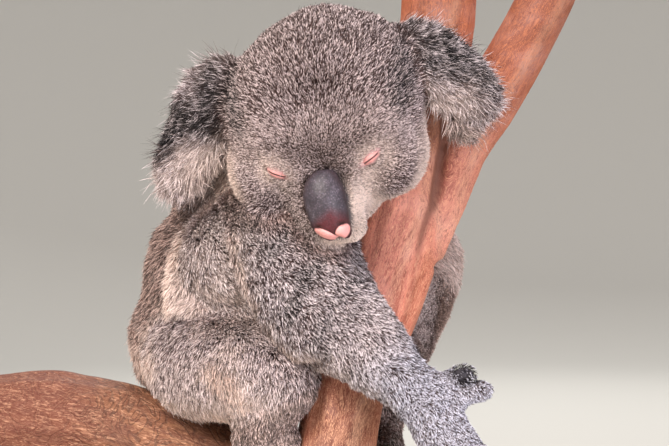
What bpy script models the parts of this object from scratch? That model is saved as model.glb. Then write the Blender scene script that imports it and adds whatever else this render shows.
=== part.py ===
"""A sleeping koala hugging a forked gum trunk, life size, on a plain display stand.

Blender 4.5, metres, +Z up. The origin is the middle of the stand's underside. The koala's body faces +X
and its head is turned to face -Y, so its right side is the -Y side. Each part of the body is a soft form
fused from overlapping balls, out to the tips of the coat. It gives way to its neighbours by a thin gap,
and a limb made whole is parted by thin flat cuts at its joints.
"""

import math

import bmesh
import bpy
from mathutils import Euler, Matrix, Vector

# Driving dimensions, in metres and degrees

GAP = 0.00036  # between neighbouring solids

HEAD_CENTRE = Vector((0.025, -0.050, 0.331))
HEAD_BOW = 32.0  # nose down
HEAD_YAW = -6.0  # turned towards -X
HEAD_LEAN = -9.0  # crown towards -X
EYE_CENTRE = Vector((0.0265, -0.0530, 0.0035))
EYE_RADIUS = 0.0075
NOSE_TOP = Vector((0.0, -0.0655, -0.001))
NOSE_TIP = Vector((0.0, -0.0835, -0.031))
NOSE_WIDTH = 0.0275
NOSE_HALF_DEPTH = 0.0070
NOSE_ARCH = 0.003  # how far its middle stands out from the line between its ends
EAR_HALF_THICKNESS = 0.0105
EAR_FORWARD_TILT = -35.0
EAR_OUTWARD_TILT = 22.0

DIGIT_RADIUS = 0.0075
PALM_FLATNESS = 0.74
CLAW_RADIUS = 0.0021
CLAW_LENGTH = 0.016
CLAW_BEND = 50.0
CLAW_TAPER = 0.8
CLAW_FORWARD = 0.003  # from the middle of the digit's tip
CLAW_RISE = 0.0025  # towards the back of the digit

BASE_LENGTH = 0.38
BASE_WIDTH = 0.27
BASE_THICKNESS = 0.018
ROD_RADIUS = 0.006
ROD_SIDES = 16

# Fineness of each kind of solid: the grid it is fused on, and about how many triangles it keeps

HEAD_DETAIL = (0.003, 560)
NOSE_DETAIL = (0.0015, 130)
EYE_DETAIL = (0.0015, 60)
EAR_DETAIL = (0.0025, 150)
BODY_DETAIL = (0.005, 360)
LIMB_DETAIL = (0.0025, 430)
BARK_SPACING = 0.022
BARK_ROUNDNESS = 4
CLAW_STEPS = 3
CLAW_ROUNDNESS = 0
WELD = 0.0001

# Colours, linear

FUR = (0.30, 0.28, 0.27)
PALE_FUR = (0.52, 0.49, 0.47)
NOSE_SKIN = (0.045, 0.042, 0.048)
EYE_DARK = (0.012, 0.009, 0.008)
CLAW_HORN = (0.035, 0.030, 0.028)
GUM_BARK = (0.42, 0.17, 0.10)
BLACK_STEEL = (0.020, 0.020, 0.022)
PALE_BOARD = (0.62, 0.58, 0.52)


# Scene and materials

for old in list(bpy.data.objects):
    bpy.data.objects.remove(old, do_unlink=True)

parts = bpy.data.collections.new("koala")
cutters = bpy.data.collections.new("koala_cutters")
bpy.context.scene.collection.children.link(parts)
bpy.context.scene.collection.children.link(cutters)


def material(name, colour, roughness, metallic=0.0):
    made = bpy.data.materials.new(name)
    made.use_nodes = True
    shader = made.node_tree.nodes["Principled BSDF"]
    shader.inputs["Base Color"].default_value = (*colour, 1.0)
    shader.inputs["Roughness"].default_value = roughness
    shader.inputs["Metallic"].default_value = metallic
    made.diffuse_color = (*colour, 1.0)
    return made


fur = material("fur_grizzled_grey", FUR, 0.9)
pale_fur = material("fur_pale_fringe", PALE_FUR, 0.9)
nose_skin = material("nose_skin", NOSE_SKIN, 0.45)
eye_dark = material("eye_dark", EYE_DARK, 0.2)
claw_horn = material("claw_horn", CLAW_HORN, 0.4)
gum_bark = material("gum_bark", GUM_BARK, 0.7)
black_steel = material("steel_black_painted", BLACK_STEEL, 0.4, 0.6)
pale_board = material("board_oak_veneer", PALE_BOARD, 0.5)


# Tools

def place(name, mesh, finish, collection=parts):
    mesh.materials.clear()
    mesh.materials.append(finish)
    made = bpy.data.objects.new(name, mesh)
    collection.objects.link(made)
    return made


def evaluated(source):
    """The mesh that the object's modifiers make, as a new mesh."""
    bpy.context.view_layer.update()
    graph = bpy.context.evaluated_depsgraph_get()
    return bpy.data.meshes.new_from_object(source.evaluated_get(graph))


def apply_modifiers(source):
    mesh = evaluated(source)
    old_mesh = source.data
    source.modifiers.clear()
    source.data = mesh
    bpy.data.meshes.remove(old_mesh)


def ball(shape, centre, radii, turn=Matrix.Identity(3)):
    """Adds one closed ellipsoid to the bmesh shape."""
    stretch = Matrix.Diagonal((*radii, 1.0))
    where = Matrix.Translation(centre) @ turn.to_4x4() @ stretch
    bmesh.ops.create_icosphere(shape, subdivisions=3, radius=1.0, matrix=where)


def smooth_path(stations, spacing):
    """Points of (x, y, z, radius) on the smooth curve through the stations, about a spacing apart."""
    knots = [Vector(station) for station in stations]
    path = []
    for index in range(len(knots) - 1):
        start, end = knots[index], knots[index + 1]
        leave = (end - knots[max(index - 1, 0)]) * 0.5
        arrive = (knots[min(index + 2, len(knots) - 1)] - start) * 0.5
        steps = max(1, math.ceil((end - start).length / spacing))
        for step in range(steps):
            t = step / steps
            t2, t3 = t * t, t * t * t
            path.append(
                start * (2.0 * t3 - 3.0 * t2 + 1.0)
                + leave * (t3 - 2.0 * t2 + t)
                + end * (3.0 * t2 - 2.0 * t3)
                + arrive * (t3 - t2)
            )
    path.append(knots[-1])
    return path


def limb(shape, stations, squash=(1.0, 1.0, 1.0), turn=Matrix.Identity(3)):
    """Adds a chain of balls along the smooth path through the stations."""
    thinnest = min(station[3] for station in stations)
    for x, y, z, radius in smooth_path(stations, 0.4 * thinnest):
        ball(shape, (x, y, z), [radius * factor for factor in squash], turn)


def fuse(name, shape, finish, detail, smoothing=4):
    """Melts the bmesh's overlapping balls into one soft closed solid of the given detail."""
    voxel, triangles = detail
    mesh = bpy.data.meshes.new(name)
    shape.to_mesh(mesh)
    shape.free()
    made = place(name, mesh, finish)
    remesh = made.modifiers.new("melt", "REMESH")
    remesh.mode = "VOXEL"
    remesh.voxel_size = voxel
    soften = made.modifiers.new("soften", "SMOOTH")
    soften.factor = 0.5
    soften.iterations = smoothing
    apply_modifiers(made)
    thin = made.modifiers.new("thin", "DECIMATE")
    count = sum(len(face.vertices) - 2 for face in made.data.polygons)
    thin.ratio = min(1.0, triangles / count)
    apply_modifiers(made)
    made.data.shade_smooth()
    return made


def grown(source):
    """A copy of a solid that stands proud of it by the gap, as a hidden cutter."""
    copy = place(source.name + "_cutter", evaluated(source), fur, cutters)
    copy.hide_render = True
    copy.display_type = "WIRE"
    swell = copy.modifiers.new("swell", "DISPLACE")
    swell.strength = GAP
    swell.mid_level = 0.0
    apply_modifiers(copy)
    return copy


def boxes_meet(one, other):
    lows = [[min(v.co[axis] for v in it.data.vertices) for axis in range(3)] for it in (one, other)]
    highs = [[max(v.co[axis] for v in it.data.vertices) for axis in range(3)] for it in (one, other)]
    return all(lows[0][axis] < highs[1][axis] and lows[1][axis] < highs[0][axis] for axis in range(3))


def give_way(source, neighbours):
    """Cuts the solid back to a thin gap from each neighbour, and drops any crumb cut loose."""
    for neighbour in neighbours:
        if not boxes_meet(source, neighbour):
            continue
        cutter = grown(neighbour)
        cut = source.modifiers.new("gap", "BOOLEAN")
        cut.operation = "DIFFERENCE"
        cut.solver = "EXACT"
        cut.object = cutter
        apply_modifiers(source)
        bpy.data.objects.remove(cutter, do_unlink=True)
    tidy(source)


def tidy(source):
    """Welds the cut edges, drops flaps left by slivers and keeps only the largest loose piece."""
    shape = bmesh.new()
    shape.from_mesh(source.data)
    bmesh.ops.triangulate(shape, faces=shape.faces)
    bmesh.ops.remove_doubles(shape, verts=shape.verts, dist=WELD)
    bmesh.ops.dissolve_degenerate(shape, edges=shape.edges, dist=WELD)
    bmesh.ops.triangulate(shape, faces=shape.faces)
    flaps = [face for face in shape.faces if any(edge.is_boundary for edge in face.edges)]
    bmesh.ops.delete(shape, geom=flaps, context="FACES")
    keep_largest(shape)
    shape.to_mesh(source.data)
    shape.free()


def keep_largest(shape):
    waiting = set(shape.verts)
    islands = []
    while waiting:
        front = [waiting.pop()]
        island = list(front)
        while front:
            for edge in front.pop().link_edges:
                for vert in edge.verts:
                    if vert in waiting:
                        waiting.remove(vert)
                        island.append(vert)
                        front.append(vert)
        islands.append(island)
    islands.sort(key=len)
    crumbs = [vert for island in islands[:-1] for vert in island]
    bmesh.ops.delete(shape, geom=crumbs, context="VERTS")


def part_off(source, name, point, normal):
    """Parts a solid with a thin flat cut. What lies on the normal's side becomes the new object."""
    normal = Vector(normal).normalized()
    beyond = place(name, source.data.copy(), source.data.materials[0])
    for piece, side in ((source, 1.0), (beyond, -1.0)):
        shape = bmesh.new()
        shape.from_mesh(piece.data)
        bmesh.ops.bisect_plane(
            shape,
            geom=shape.verts[:] + shape.edges[:] + shape.faces[:],
            plane_co=Vector(point) - normal * (side * GAP * 0.5),
            plane_no=normal * side,
            clear_outer=True,
        )
        rims = [edge for edge in shape.edges if edge.is_boundary]
        bmesh.ops.holes_fill(shape, edges=rims, sides=0)
        shape.to_mesh(piece.data)
        shape.free()
        tidy(piece)
    return beyond


def tube(name, stations, finish, roundness):
    """A closed round tube through stations of (x, y, z, radius), with flat ends."""
    line = bpy.data.curves.new(name, "CURVE")
    line.dimensions = "3D"
    line.bevel_depth = 1.0
    line.bevel_resolution = roundness
    line.use_fill_caps = True
    spline = line.splines.new("POLY")
    spline.points.add(len(stations) - 1)
    for point, (x, y, z, radius) in zip(spline.points, stations):
        point.co = (x, y, z, 1.0)
        point.radius = radius
    guide = bpy.data.objects.new(name + "_line", line)
    cutters.objects.link(guide)
    made = place(name, evaluated(guide), finish)
    made.matrix_world = guide.matrix_world
    bpy.data.objects.remove(guide, do_unlink=True)
    shape = bmesh.new()
    shape.from_mesh(made.data)
    bmesh.ops.remove_doubles(shape, verts=shape.verts, dist=WELD * 0.1)
    bmesh.ops.recalc_face_normals(shape, faces=shape.faces)
    shape.to_mesh(made.data)
    shape.free()
    made.data.shade_smooth()
    made.data.set_sharp_from_angle(angle=math.radians(50.0))
    return made


# Perch: a forked gum trunk and the branch that the koala sits on, all cut short. (x, y, z, radius)

PERCH = {
    "perch_trunk": [
        (0.022, -0.034, 0.060, 0.031),
        (0.027, -0.033, 0.100, 0.028),
        (0.034, -0.030, 0.144, 0.0255),
        (0.041, -0.028, 0.176, 0.0255),
        (0.054, -0.020, 0.207, 0.0265),
        (0.067, -0.010, 0.242, 0.0275),
        (0.076, -0.002, 0.281, 0.0275),
    ],
    "perch_fork_left": [
        (0.074, -0.003, 0.276, 0.0265),
        (0.081, 0.002, 0.317, 0.0250),
        (0.096, 0.005, 0.383, 0.0245),
        (0.100, 0.008, 0.427, 0.0250),
    ],
    "perch_fork_right": [
        (0.089, -0.008, 0.247, 0.0120),
        (0.099, -0.003, 0.281, 0.0160),
        (0.112, 0.000, 0.317, 0.0175),
        (0.129, 0.002, 0.344, 0.0190),
        (0.152, 0.005, 0.383, 0.0190),
        (0.174, 0.008, 0.426, 0.0180),
    ],
    "perch_seat_branch": [
        (-0.212, 0.036, 0.131, 0.034),
        (-0.155, 0.034, 0.134, 0.035),
        (-0.096, 0.026, 0.122, 0.034),
        (-0.040, 0.008, 0.100, 0.032),
        (0.014, -0.024, 0.080, 0.026),
    ],
}


def make_bough(name):
    return tube(name, smooth_path(PERCH[name], BARK_SPACING), gum_bark, BARK_ROUNDNESS)


def on_bark(point, clearance):
    """Moves a point outwards from the boughs until it lies that clear of the bark."""
    point = Vector(point)
    for stations in PERCH.values():
        path = smooth_path(stations, BARK_SPACING * 0.25)
        nearest = min(path, key=lambda knot: (knot.to_3d() - point).length - knot.w)
        away = point - nearest.to_3d()
        needed = nearest.w + clearance
        if away.length < needed:
            point = nearest.to_3d() + away.normalized() * needed
    return point


# Head, in its own frame: -Y forward, +Z up, +X towards the animal's left

HEAD_TURN = (
    Matrix.Rotation(math.radians(HEAD_LEAN), 3, "Y")
    @ Matrix.Rotation(math.radians(HEAD_YAW), 3, "Z")
    @ Matrix.Rotation(math.radians(HEAD_BOW), 3, "X")
)
MOUTH_CORNER = (0.0, -0.070, -0.043)
MOUTH_NORMAL = (0.0, 0.148, -0.989)

# Balls of (centre, radii). The crown's coat is pushed up on the side that leans on the trunk, +X, and
# the cheeks' coat is pushed the other way.

HEAD_MIDDLE_BALLS = [
    ((-0.003, -0.054, -0.021), (0.0225, 0.027, 0.0235)),  # muzzle
    ((0.000, -0.061, -0.014), (0.016, 0.017, 0.022)),  # bed of the nose
    ((0.000, -0.046, 0.014), (0.034, 0.018, 0.026)),  # brow
    ((-0.007, -0.014, -0.036), (0.040, 0.042, 0.024)),  # throat
    ((-0.003, -0.054, -0.038), (0.017, 0.020, 0.010)),  # chin
    ((0.006, 0.004, 0.020), (0.050, 0.058, 0.054)),  # crown
    ((0.006, 0.020, 0.030), (0.042, 0.040, 0.038)),  # back of the crown
]
HEAD_LEFT_BALLS = [
    ((0.0155, 0.002, 0.006), (0.048, 0.065, 0.058)),  # side of the skull
    ((0.026, 0.006, 0.026), (0.034, 0.046, 0.040)),  # side of the crown
    ((0.034, -0.018, -0.013), (0.028, 0.040, 0.029)),  # cheek
    ((0.008, -0.063, -0.0345), (0.012, 0.0145, 0.0125)),  # lip
]
HEAD_RIGHT_BALLS = [
    ((-0.013, 0.002, 0.006), (0.048, 0.065, 0.058)),
    ((-0.014, 0.006, 0.026), (0.034, 0.046, 0.040)),
    ((-0.037, -0.018, -0.013), (0.028, 0.040, 0.029)),
    ((-0.0095, -0.063, -0.0305), (0.012, 0.014, 0.0115)),
]

# Each ear is a chain of stations of (x, y, z, radius), from its root out and down to its tip

EARS = {
    "ear_right": [
        (-0.058, 0.012, 0.028, 0.0245),
        (-0.072, 0.012, 0.020, 0.0235),
        (-0.082, 0.005, 0.001, 0.0235),
        (-0.096, -0.003, -0.010, 0.0190),
        (-0.101, -0.008, -0.023, 0.0135),
    ],
    "ear_left": [
        (0.060, 0.012, 0.030, 0.0255),
        (0.068, 0.012, 0.027, 0.0240),
        (0.082, 0.008, 0.010, 0.0240),
        (0.091, 0.003, 0.001, 0.0210),
        (0.084, -0.003, -0.012, 0.0170),
    ],
}


def on_head(point):
    return HEAD_CENTRE + HEAD_TURN @ Vector(point)


def head_ball(shape, centre, radii):
    ball(shape, on_head(centre), radii, HEAD_TURN)


def make_head():
    shape = bmesh.new()
    for centre, radii in HEAD_MIDDLE_BALLS + HEAD_LEFT_BALLS + HEAD_RIGHT_BALLS:
        head_ball(shape, centre, radii)
    return fuse("head", shape, fur, HEAD_DETAIL)


def make_nose():
    """A spoon of bare skin, from between the eyes down over the nostrils, narrower at its foot."""
    steps = 10
    shape = bmesh.new()
    for step in range(steps + 1):
        t = step / steps
        half_width = NOSE_WIDTH * (0.5 - 0.12 * t * t)
        arch = Vector((0.0, -NOSE_ARCH, 0.0)) * math.sin(math.pi * t)
        spot = NOSE_TOP.lerp(NOSE_TIP, t) + arch
        head_ball(shape, spot, (half_width, NOSE_HALF_DEPTH, NOSE_HALF_DEPTH))
    return fuse("nose", shape, nose_skin, NOSE_DETAIL)


def make_eye(name, side):
    """The ball behind the closed lids."""
    shape = bmesh.new()
    middle = (side * EYE_CENTRE.x, EYE_CENTRE.y, EYE_CENTRE.z)
    head_ball(shape, middle, (EYE_RADIUS, EYE_RADIUS, EYE_RADIUS))
    return fuse(name, shape, eye_dark, EYE_DETAIL, smoothing=1)


def make_ear(name):
    """A round flap that stands out from the side of the head and droops, with its fringe below."""
    side = 1.0 if name.endswith("left") else -1.0
    flare = (math.radians(EAR_FORWARD_TILT), 0.0, math.radians(side * EAR_OUTWARD_TILT))
    tilt = HEAD_TURN @ Euler(flare).to_matrix()
    stations = [(*on_head(station[:3]), station[3]) for station in EARS[name]]
    shape = bmesh.new()
    thickness = EAR_HALF_THICKNESS / stations[1][3]
    limb(shape, stations, (1.0, thickness, 1.0), tilt)
    return fuse(name, shape, pale_fur, EAR_DETAIL)


# Body

BODY_BALLS = [
    ((-0.002, -0.003, 0.312), (0.050, 0.052, 0.046)),  # neck behind the head
    ((0.012, -0.024, 0.290), (0.046, 0.046, 0.040)),  # throat
    ((-0.006, 0.022, 0.300), (0.056, 0.062, 0.048)),  # nape
    ((-0.018, 0.025, 0.272), (0.061, 0.072, 0.056)),  # shoulders
    ((-0.037, 0.028, 0.232), (0.063, 0.073, 0.062)),  # back and chest
    ((-0.048, 0.032, 0.191), (0.062, 0.066, 0.056)),  # rump
    ((-0.016, 0.030, 0.176), (0.046, 0.052, 0.036)),  # belly
]
NECK_BASE = (0.000, 0.000, 0.288)
NECK_NORMAL = (0.25, -0.35, 0.90)


def make_body():
    shape = bmesh.new()
    for centre, radii in BODY_BALLS:
        ball(shape, centre, radii)
    return fuse("torso", shape, fur, BODY_DETAIL)


# Limbs: a chain of stations of (x, y, z, radius) from the shoulder or hip to the wrist or ankle, and the
# two flat cuts that part it. Each cut is (name of what lies beyond, point, direction down the limb).

LIMBS = {
    "upper_arm_right": (
        [
            (-0.030, -0.030, 0.250, 0.038),
            (-0.002, -0.046, 0.258, 0.041),
            (0.015, -0.060, 0.231, 0.0375),
            (0.029, -0.068, 0.211, 0.033),
            (0.048, -0.078, 0.196, 0.0265),
            (0.061, -0.084, 0.183, 0.0215),
            (0.072, -0.088, 0.173, 0.0182),
            (0.083, -0.092, 0.162, 0.0170),
        ],
        ("forearm_right", (0.030, -0.069, 0.209), (0.61, -0.35, -0.67)),
        ("hand_right", (0.077, -0.090, 0.168), (0.80, -0.20, -0.55)),
    ),
    "upper_arm_left": (
        [
            (-0.016, 0.068, 0.262, 0.037),
            (0.030, 0.080, 0.274, 0.036),
            (0.085, 0.068, 0.250, 0.0325),
            (0.086, 0.056, 0.222, 0.0285),
            (0.080, 0.044, 0.202, 0.0245),
            (0.076, 0.026, 0.185, 0.0195),
        ],
        ("forearm_left", (0.086, 0.058, 0.226), (-0.15, -0.50, -0.85)),
        ("hand_left", (0.075, 0.032, 0.184), (-0.10, -0.98, 0.15)),
    ),
    "thigh_right": (
        [
            (-0.054, -0.008, 0.181, 0.041),
            (-0.030, -0.038, 0.181, 0.036),
            (-0.002, -0.052, 0.176, 0.0240),
            (-0.012, -0.046, 0.152, 0.020),
            (-0.018, -0.040, 0.138, 0.018),
        ],
        ("shin_right", (-0.004, -0.050, 0.162), (0.50, 0.00, -0.86)),
        ("foot_right", (-0.017, -0.041, 0.137), (0.45, -0.35, -0.82)),
    ),
    "thigh_left": (
        [
            (-0.050, 0.072, 0.178, 0.041),
            (-0.016, 0.088, 0.174, 0.035),
            (0.024, 0.082, 0.167, 0.0250),
            (0.044, 0.066, 0.149, 0.020),
            (0.060, 0.044, 0.134, 0.018),
        ],
        ("shin_left", (0.032, 0.076, 0.159), (0.70, -0.50, -0.50)),
        ("foot_left", (0.060, 0.044, 0.134), (0.25, -0.85, -0.35)),
    ),
}

# Hands and feet. Each has a frame: the wrist, the way it points and the way its palm faces. A palm is a
# row of balls of (along, across, radius). A digit is (along, across towards the thumb, heading towards
# the thumb in degrees, length, curl in degrees, drop of its claws in degrees, claws).

PAWS = {
    "hand_right": ((0.086, -0.093, 0.160), (0.50, 0.02, -0.86), (0.05, 1.00, 0.00)),
    "hand_left": ((0.076, 0.021, 0.184), (-0.08, -0.98, -0.10), (-1.00, 0.10, 0.00)),
    "foot_right": ((-0.016, -0.040, 0.136), (0.45, -0.40, -0.78), (0.00, 0.90, -0.45)),
    "foot_left": ((0.062, 0.040, 0.132), (0.06, -0.94, -0.32), (-1.00, -0.05, -0.10)),
}
PALMS = {
    "hand": [(0.000, -0.002, 0.0168), (0.014, -0.001, 0.0185), (0.028, 0.000, 0.0185)],
    "foot": [(0.000, 0.000, 0.0180), (0.016, 0.001, 0.0180), (0.030, -0.001, 0.0175)],
}
DIGITS = {
    "hand": [
        (-0.010, 0.009, 75.0, 0.020, 12.0, 62.0, 1),
        (0.001, 0.009, 72.0, 0.026, 14.0, 62.0, 1),
        (0.034, 0.010, 10.0, 0.030, 70.0, 0.0, 1),
        (0.037, 0.000, 0.0, 0.033, 70.0, 0.0, 1),
        (0.034, -0.010, -10.0, 0.029, 70.0, 0.0, 1),
    ],
    "foot": [
        (0.014, 0.012, 72.0, 0.020, 35.0, 0.0, 0),
        (0.037, 0.008, 8.0, 0.027, 50.0, 0.0, 2),
        (0.040, -0.002, -2.0, 0.026, 50.0, 0.0, 1),
        (0.036, -0.012, -12.0, 0.022, 50.0, 0.0, 1),
    ],
}


class Paw:
    """The frame of one hand or foot, with directions along it, across to its thumb and into its palm."""

    def __init__(self, name):
        wrist, pointing, palm = PAWS[name]
        self.name = name
        self.kind = name.rsplit("_", 1)[0]
        self.wrist = Vector(wrist)
        self.along = Vector(pointing).normalized()
        handed = 1.0 if name.endswith("right") else -1.0
        self.across = self.along.cross(Vector(palm)).normalized() * handed
        self.grip = self.across.cross(self.along).normalized() * handed

    def spot(self, along, across):
        return self.wrist + self.along * along + self.across * across

    def digit(self, along, across, heading, length, curl):
        """Points from a digit's root to its tip, which bends towards the palm's side and lies on bark."""
        angle = math.radians(heading)
        ahead = self.along * math.cos(angle) + self.across * math.sin(angle)
        spot = self.spot(along, across)
        points = [on_bark(spot, DIGIT_RADIUS * 0.8)]
        steps = 3
        for step in range(steps):
            bend = math.radians(curl) * (step + 0.5) / steps
            spot = points[-1] + (ahead * math.cos(bend) + self.grip * math.sin(bend)) * (length / steps)
            points.append(on_bark(spot, DIGIT_RADIUS * 0.8))
        return points


def add_paw(shape, paw):
    turn = Matrix((paw.along, paw.across, paw.grip)).transposed()
    for along, across, radius in PALMS[paw.kind]:
        centre = on_bark(paw.spot(along, across), radius * PALM_FLATNESS * 0.9)
        ball(shape, centre, (radius, radius, radius * PALM_FLATNESS), turn)
    for *shape_of_digit, _drop, _claws in DIGITS[paw.kind]:
        points = paw.digit(*shape_of_digit)
        limb(shape, [(*point, DIGIT_RADIUS) for point in points])


def make_claws(paw):
    """A curved tapering claw at each digit's tip, and two on the foot's joined second and third toes."""
    claws = []
    for *shape_of_digit, drop, count in DIGITS[paw.kind]:
        points = paw.digit(*shape_of_digit)
        heading = (points[-1] - points[-2]).normalized()
        sideways = heading.cross(paw.grip).normalized()
        inwards = sideways.cross(heading).normalized()
        drop = math.radians(drop)
        reach = heading * math.cos(drop) + inwards * math.sin(drop)
        bend_way = inwards * math.cos(drop) - heading * math.sin(drop)
        for index in range(count):
            shift = (index - (count - 1) * 0.5) * DIGIT_RADIUS
            root = points[-1] + sideways * shift + heading * CLAW_FORWARD - inwards * CLAW_RISE
            claws.append(make_claw(f"{paw.name}_claw_{len(claws) + 1}", root, reach, bend_way))
    return claws


def make_claw(name, root, heading, inwards):
    spine = []
    for step in range(CLAW_STEPS + 1):
        t = step / CLAW_STEPS
        bend = math.radians(CLAW_BEND) * t * 0.5
        reach = heading * math.cos(bend) + inwards * math.sin(bend)
        radius = CLAW_RADIUS * (1.0 - CLAW_TAPER * t)
        spot = on_bark(root + reach * (CLAW_LENGTH * t), radius + GAP * 2.0)
        spine.append((*spot, radius))
    return tube(name, spine, claw_horn, CLAW_ROUNDNESS)


def make_limb(name, standing):
    """A limb with its hand or foot, made whole and cut back from its claws and what already stands."""
    stations, *cuts = LIMBS[name]
    paw = Paw(cuts[-1][0])
    claws = make_claws(paw)
    shape = bmesh.new()
    limb(shape, stations)
    add_paw(shape, paw)
    made = fuse(name, shape, fur, LIMB_DETAIL, smoothing=3)
    give_way(made, claws + standing)
    return made, claws


def part_limb(whole):
    """Parts a whole limb at its two joints, from its root to its hand or foot."""
    _stations, *cuts = LIMBS[whole.name]
    for name, point, normal in cuts:
        whole = part_off(whole, name, point, normal)


# Stand: a flat base with a rod under the trunk and a rod under the branch

RODS = {"stand_rod_1": (0.022, -0.034), "stand_rod_2": (-0.140, 0.032)}
ROD_TOP = 0.115


def adopt(made, finish):
    """Moves an object from the active collection to the koala's, and gives it its material."""
    for holder in list(made.users_collection):
        holder.objects.unlink(made)
    parts.objects.link(made)
    made.data.materials.append(finish)


def make_base():
    bpy.ops.mesh.primitive_cube_add(size=1.0, location=(0.0, 0.0, BASE_THICKNESS * 0.5))
    made = bpy.context.active_object
    made.name = made.data.name = "stand_base"
    made.scale = (BASE_LENGTH, BASE_WIDTH, BASE_THICKNESS)
    bpy.ops.object.transform_apply(location=True, rotation=False, scale=True)
    corners = made.modifiers.new("soft_edges", "BEVEL")
    corners.width = 0.003
    corners.segments = 1
    apply_modifiers(made)
    adopt(made, pale_board)


def make_rod(name, perch):
    x, y = RODS[name]
    foot = BASE_THICKNESS + GAP
    bpy.ops.mesh.primitive_cylinder_add(
        vertices=ROD_SIDES,
        radius=ROD_RADIUS,
        depth=ROD_TOP - foot,
        location=(x, y, (ROD_TOP + foot) * 0.5),
    )
    made = bpy.context.active_object
    made.name = made.data.name = name
    bpy.ops.object.transform_apply(location=True, rotation=False, scale=False)
    adopt(made, black_steel)
    give_way(made, perch)


# Assembly: what is made first keeps its shape, and what follows gives way to it

def main():
    standing = []
    for name in PERCH:
        bough = make_bough(name)
        give_way(bough, standing)
        standing.append(bough)

    make_base()
    for name in RODS:
        make_rod(name, standing)

    nose = make_nose()
    eyes = [make_eye("eye_right", -1.0), make_eye("eye_left", 1.0)]
    head = make_head()
    give_way(head, [nose, *eyes, *standing])
    standing += [nose, head]
    for name in EARS:
        ear = make_ear(name)
        give_way(ear, standing)
        standing.append(ear)

    limbs = []
    for name in LIMBS:
        whole, claws = make_limb(name, standing)
        limbs.append(whole)
        standing += [whole, *claws]
    torso = make_body()
    give_way(torso, standing)

    part_off(head, "jaw", on_head(MOUTH_CORNER), HEAD_TURN @ Vector(MOUTH_NORMAL))
    part_off(torso, "neck", NECK_BASE, NECK_NORMAL)
    for whole in limbs:
        part_limb(whole)
    bpy.context.view_layer.update()


main()
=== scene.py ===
"""The looks of a life-size koala asleep on its gum-tree perch: skin, coat, face, claws, bark and stand.

Laid out as an add-on. Each operator makes one piece or one group of like pieces around the fixed model,
in metres, +Z up. The koala's body faces +X and its face is turned to -Y.
"""

import itertools
import math

import bpy
import numpy as np
from mathutils import Matrix, Vector
from mathutils.bvhtree import BVHTree
from mathutils.kdtree import KDTree


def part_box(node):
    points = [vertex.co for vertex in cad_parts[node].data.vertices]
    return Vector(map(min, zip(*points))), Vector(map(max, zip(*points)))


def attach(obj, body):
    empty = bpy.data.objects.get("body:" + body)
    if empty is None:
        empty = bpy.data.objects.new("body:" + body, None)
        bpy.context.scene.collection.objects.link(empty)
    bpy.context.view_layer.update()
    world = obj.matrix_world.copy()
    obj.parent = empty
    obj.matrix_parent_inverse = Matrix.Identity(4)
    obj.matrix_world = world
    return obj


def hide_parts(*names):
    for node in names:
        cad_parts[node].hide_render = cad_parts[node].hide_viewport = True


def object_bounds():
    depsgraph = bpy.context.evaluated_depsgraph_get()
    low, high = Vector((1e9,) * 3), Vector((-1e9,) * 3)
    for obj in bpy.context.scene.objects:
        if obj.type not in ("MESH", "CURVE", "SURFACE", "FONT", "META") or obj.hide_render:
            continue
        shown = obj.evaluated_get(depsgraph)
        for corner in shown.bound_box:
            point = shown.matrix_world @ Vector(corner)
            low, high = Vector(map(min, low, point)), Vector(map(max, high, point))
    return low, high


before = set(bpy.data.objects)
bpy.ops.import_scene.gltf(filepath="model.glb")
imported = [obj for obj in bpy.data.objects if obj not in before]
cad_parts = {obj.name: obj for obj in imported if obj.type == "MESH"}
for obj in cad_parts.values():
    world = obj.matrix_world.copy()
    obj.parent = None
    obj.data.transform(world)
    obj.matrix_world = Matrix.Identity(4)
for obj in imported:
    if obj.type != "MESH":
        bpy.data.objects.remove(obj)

CAD_LOW, CAD_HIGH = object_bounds()

bl_info = {
    "name": "Sleeping Koala",
    "version": (1, 0, 0),
    "blender": (4, 5, 0),
    "location": "View3D > Sidebar > Koala",
    "description": "Builds a sleeping koala with a full coat, on a cut gum-tree perch and a display stand",
    "category": "Object",
}


# Colours and node tools

def linear(hex_colour):
    """An sRGB hex colour as linear red, green, blue and alpha."""
    parts = [int(hex_colour[at:at + 2], 16) / 255.0 for at in (0, 2, 4)]
    return (*[part / 12.92 if part <= 0.04045 else ((part + 0.055) / 1.055) ** 2.4 for part in parts], 1.0)


def add_node(tree, kind, inputs=None, stops=(), **settings):
    """Adds a shader node. An input is a value, a hex colour, or the node or output that it is linked from.

    It is known by its number, or by its name among those in use. Stops are a colour ramp's. Mixes are of
    colours.
    """
    node = tree.nodes.new("ShaderNode" + kind)
    if kind == "Mix":
        node.data_type = "RGBA"
    for name, value in settings.items():
        setattr(node, name, value)
    for key, value in (inputs or {}).items():
        if isinstance(key, int):
            socket = node.inputs[key]
        else:
            socket = next(one for one in node.inputs if one.name == key and one.enabled)
        if isinstance(value, bpy.types.Node):
            value = next(one for one in value.outputs if one.enabled)
        if isinstance(value, bpy.types.NodeSocket):
            tree.links.new(value, socket)
        else:
            socket.default_value = linear(value) if isinstance(value, str) else value
    for at, (position, colour) in enumerate(stops):
        if at >= len(node.color_ramp.elements):
            node.color_ramp.elements.new(position)
        node.color_ramp.elements[at].position = position
        node.color_ramp.elements[at].color = linear(colour)
    return node


def set_shader(tree, links, **values):
    """Links nodes to the Principled shader, and sets its other sockets to constants."""
    shader = tree.nodes["Principled BSDF"]
    for name, node in links.items():
        tree.links.new(next(one for one in node.outputs if one.enabled), shader.inputs[name])
    for name, value in values.items():
        shader.inputs[name.replace("_", " ")].default_value = value


def new_material(name):
    """A material with only its output node and a Principled shader."""
    made = bpy.data.materials.new(name)
    made.use_nodes = True
    return made, made.node_tree


def shade(colour, share):
    """A darker or lighter tone of a colour."""
    return (*[min(part * share, 1.0) for part in colour[:3]], 1.0)


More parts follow.
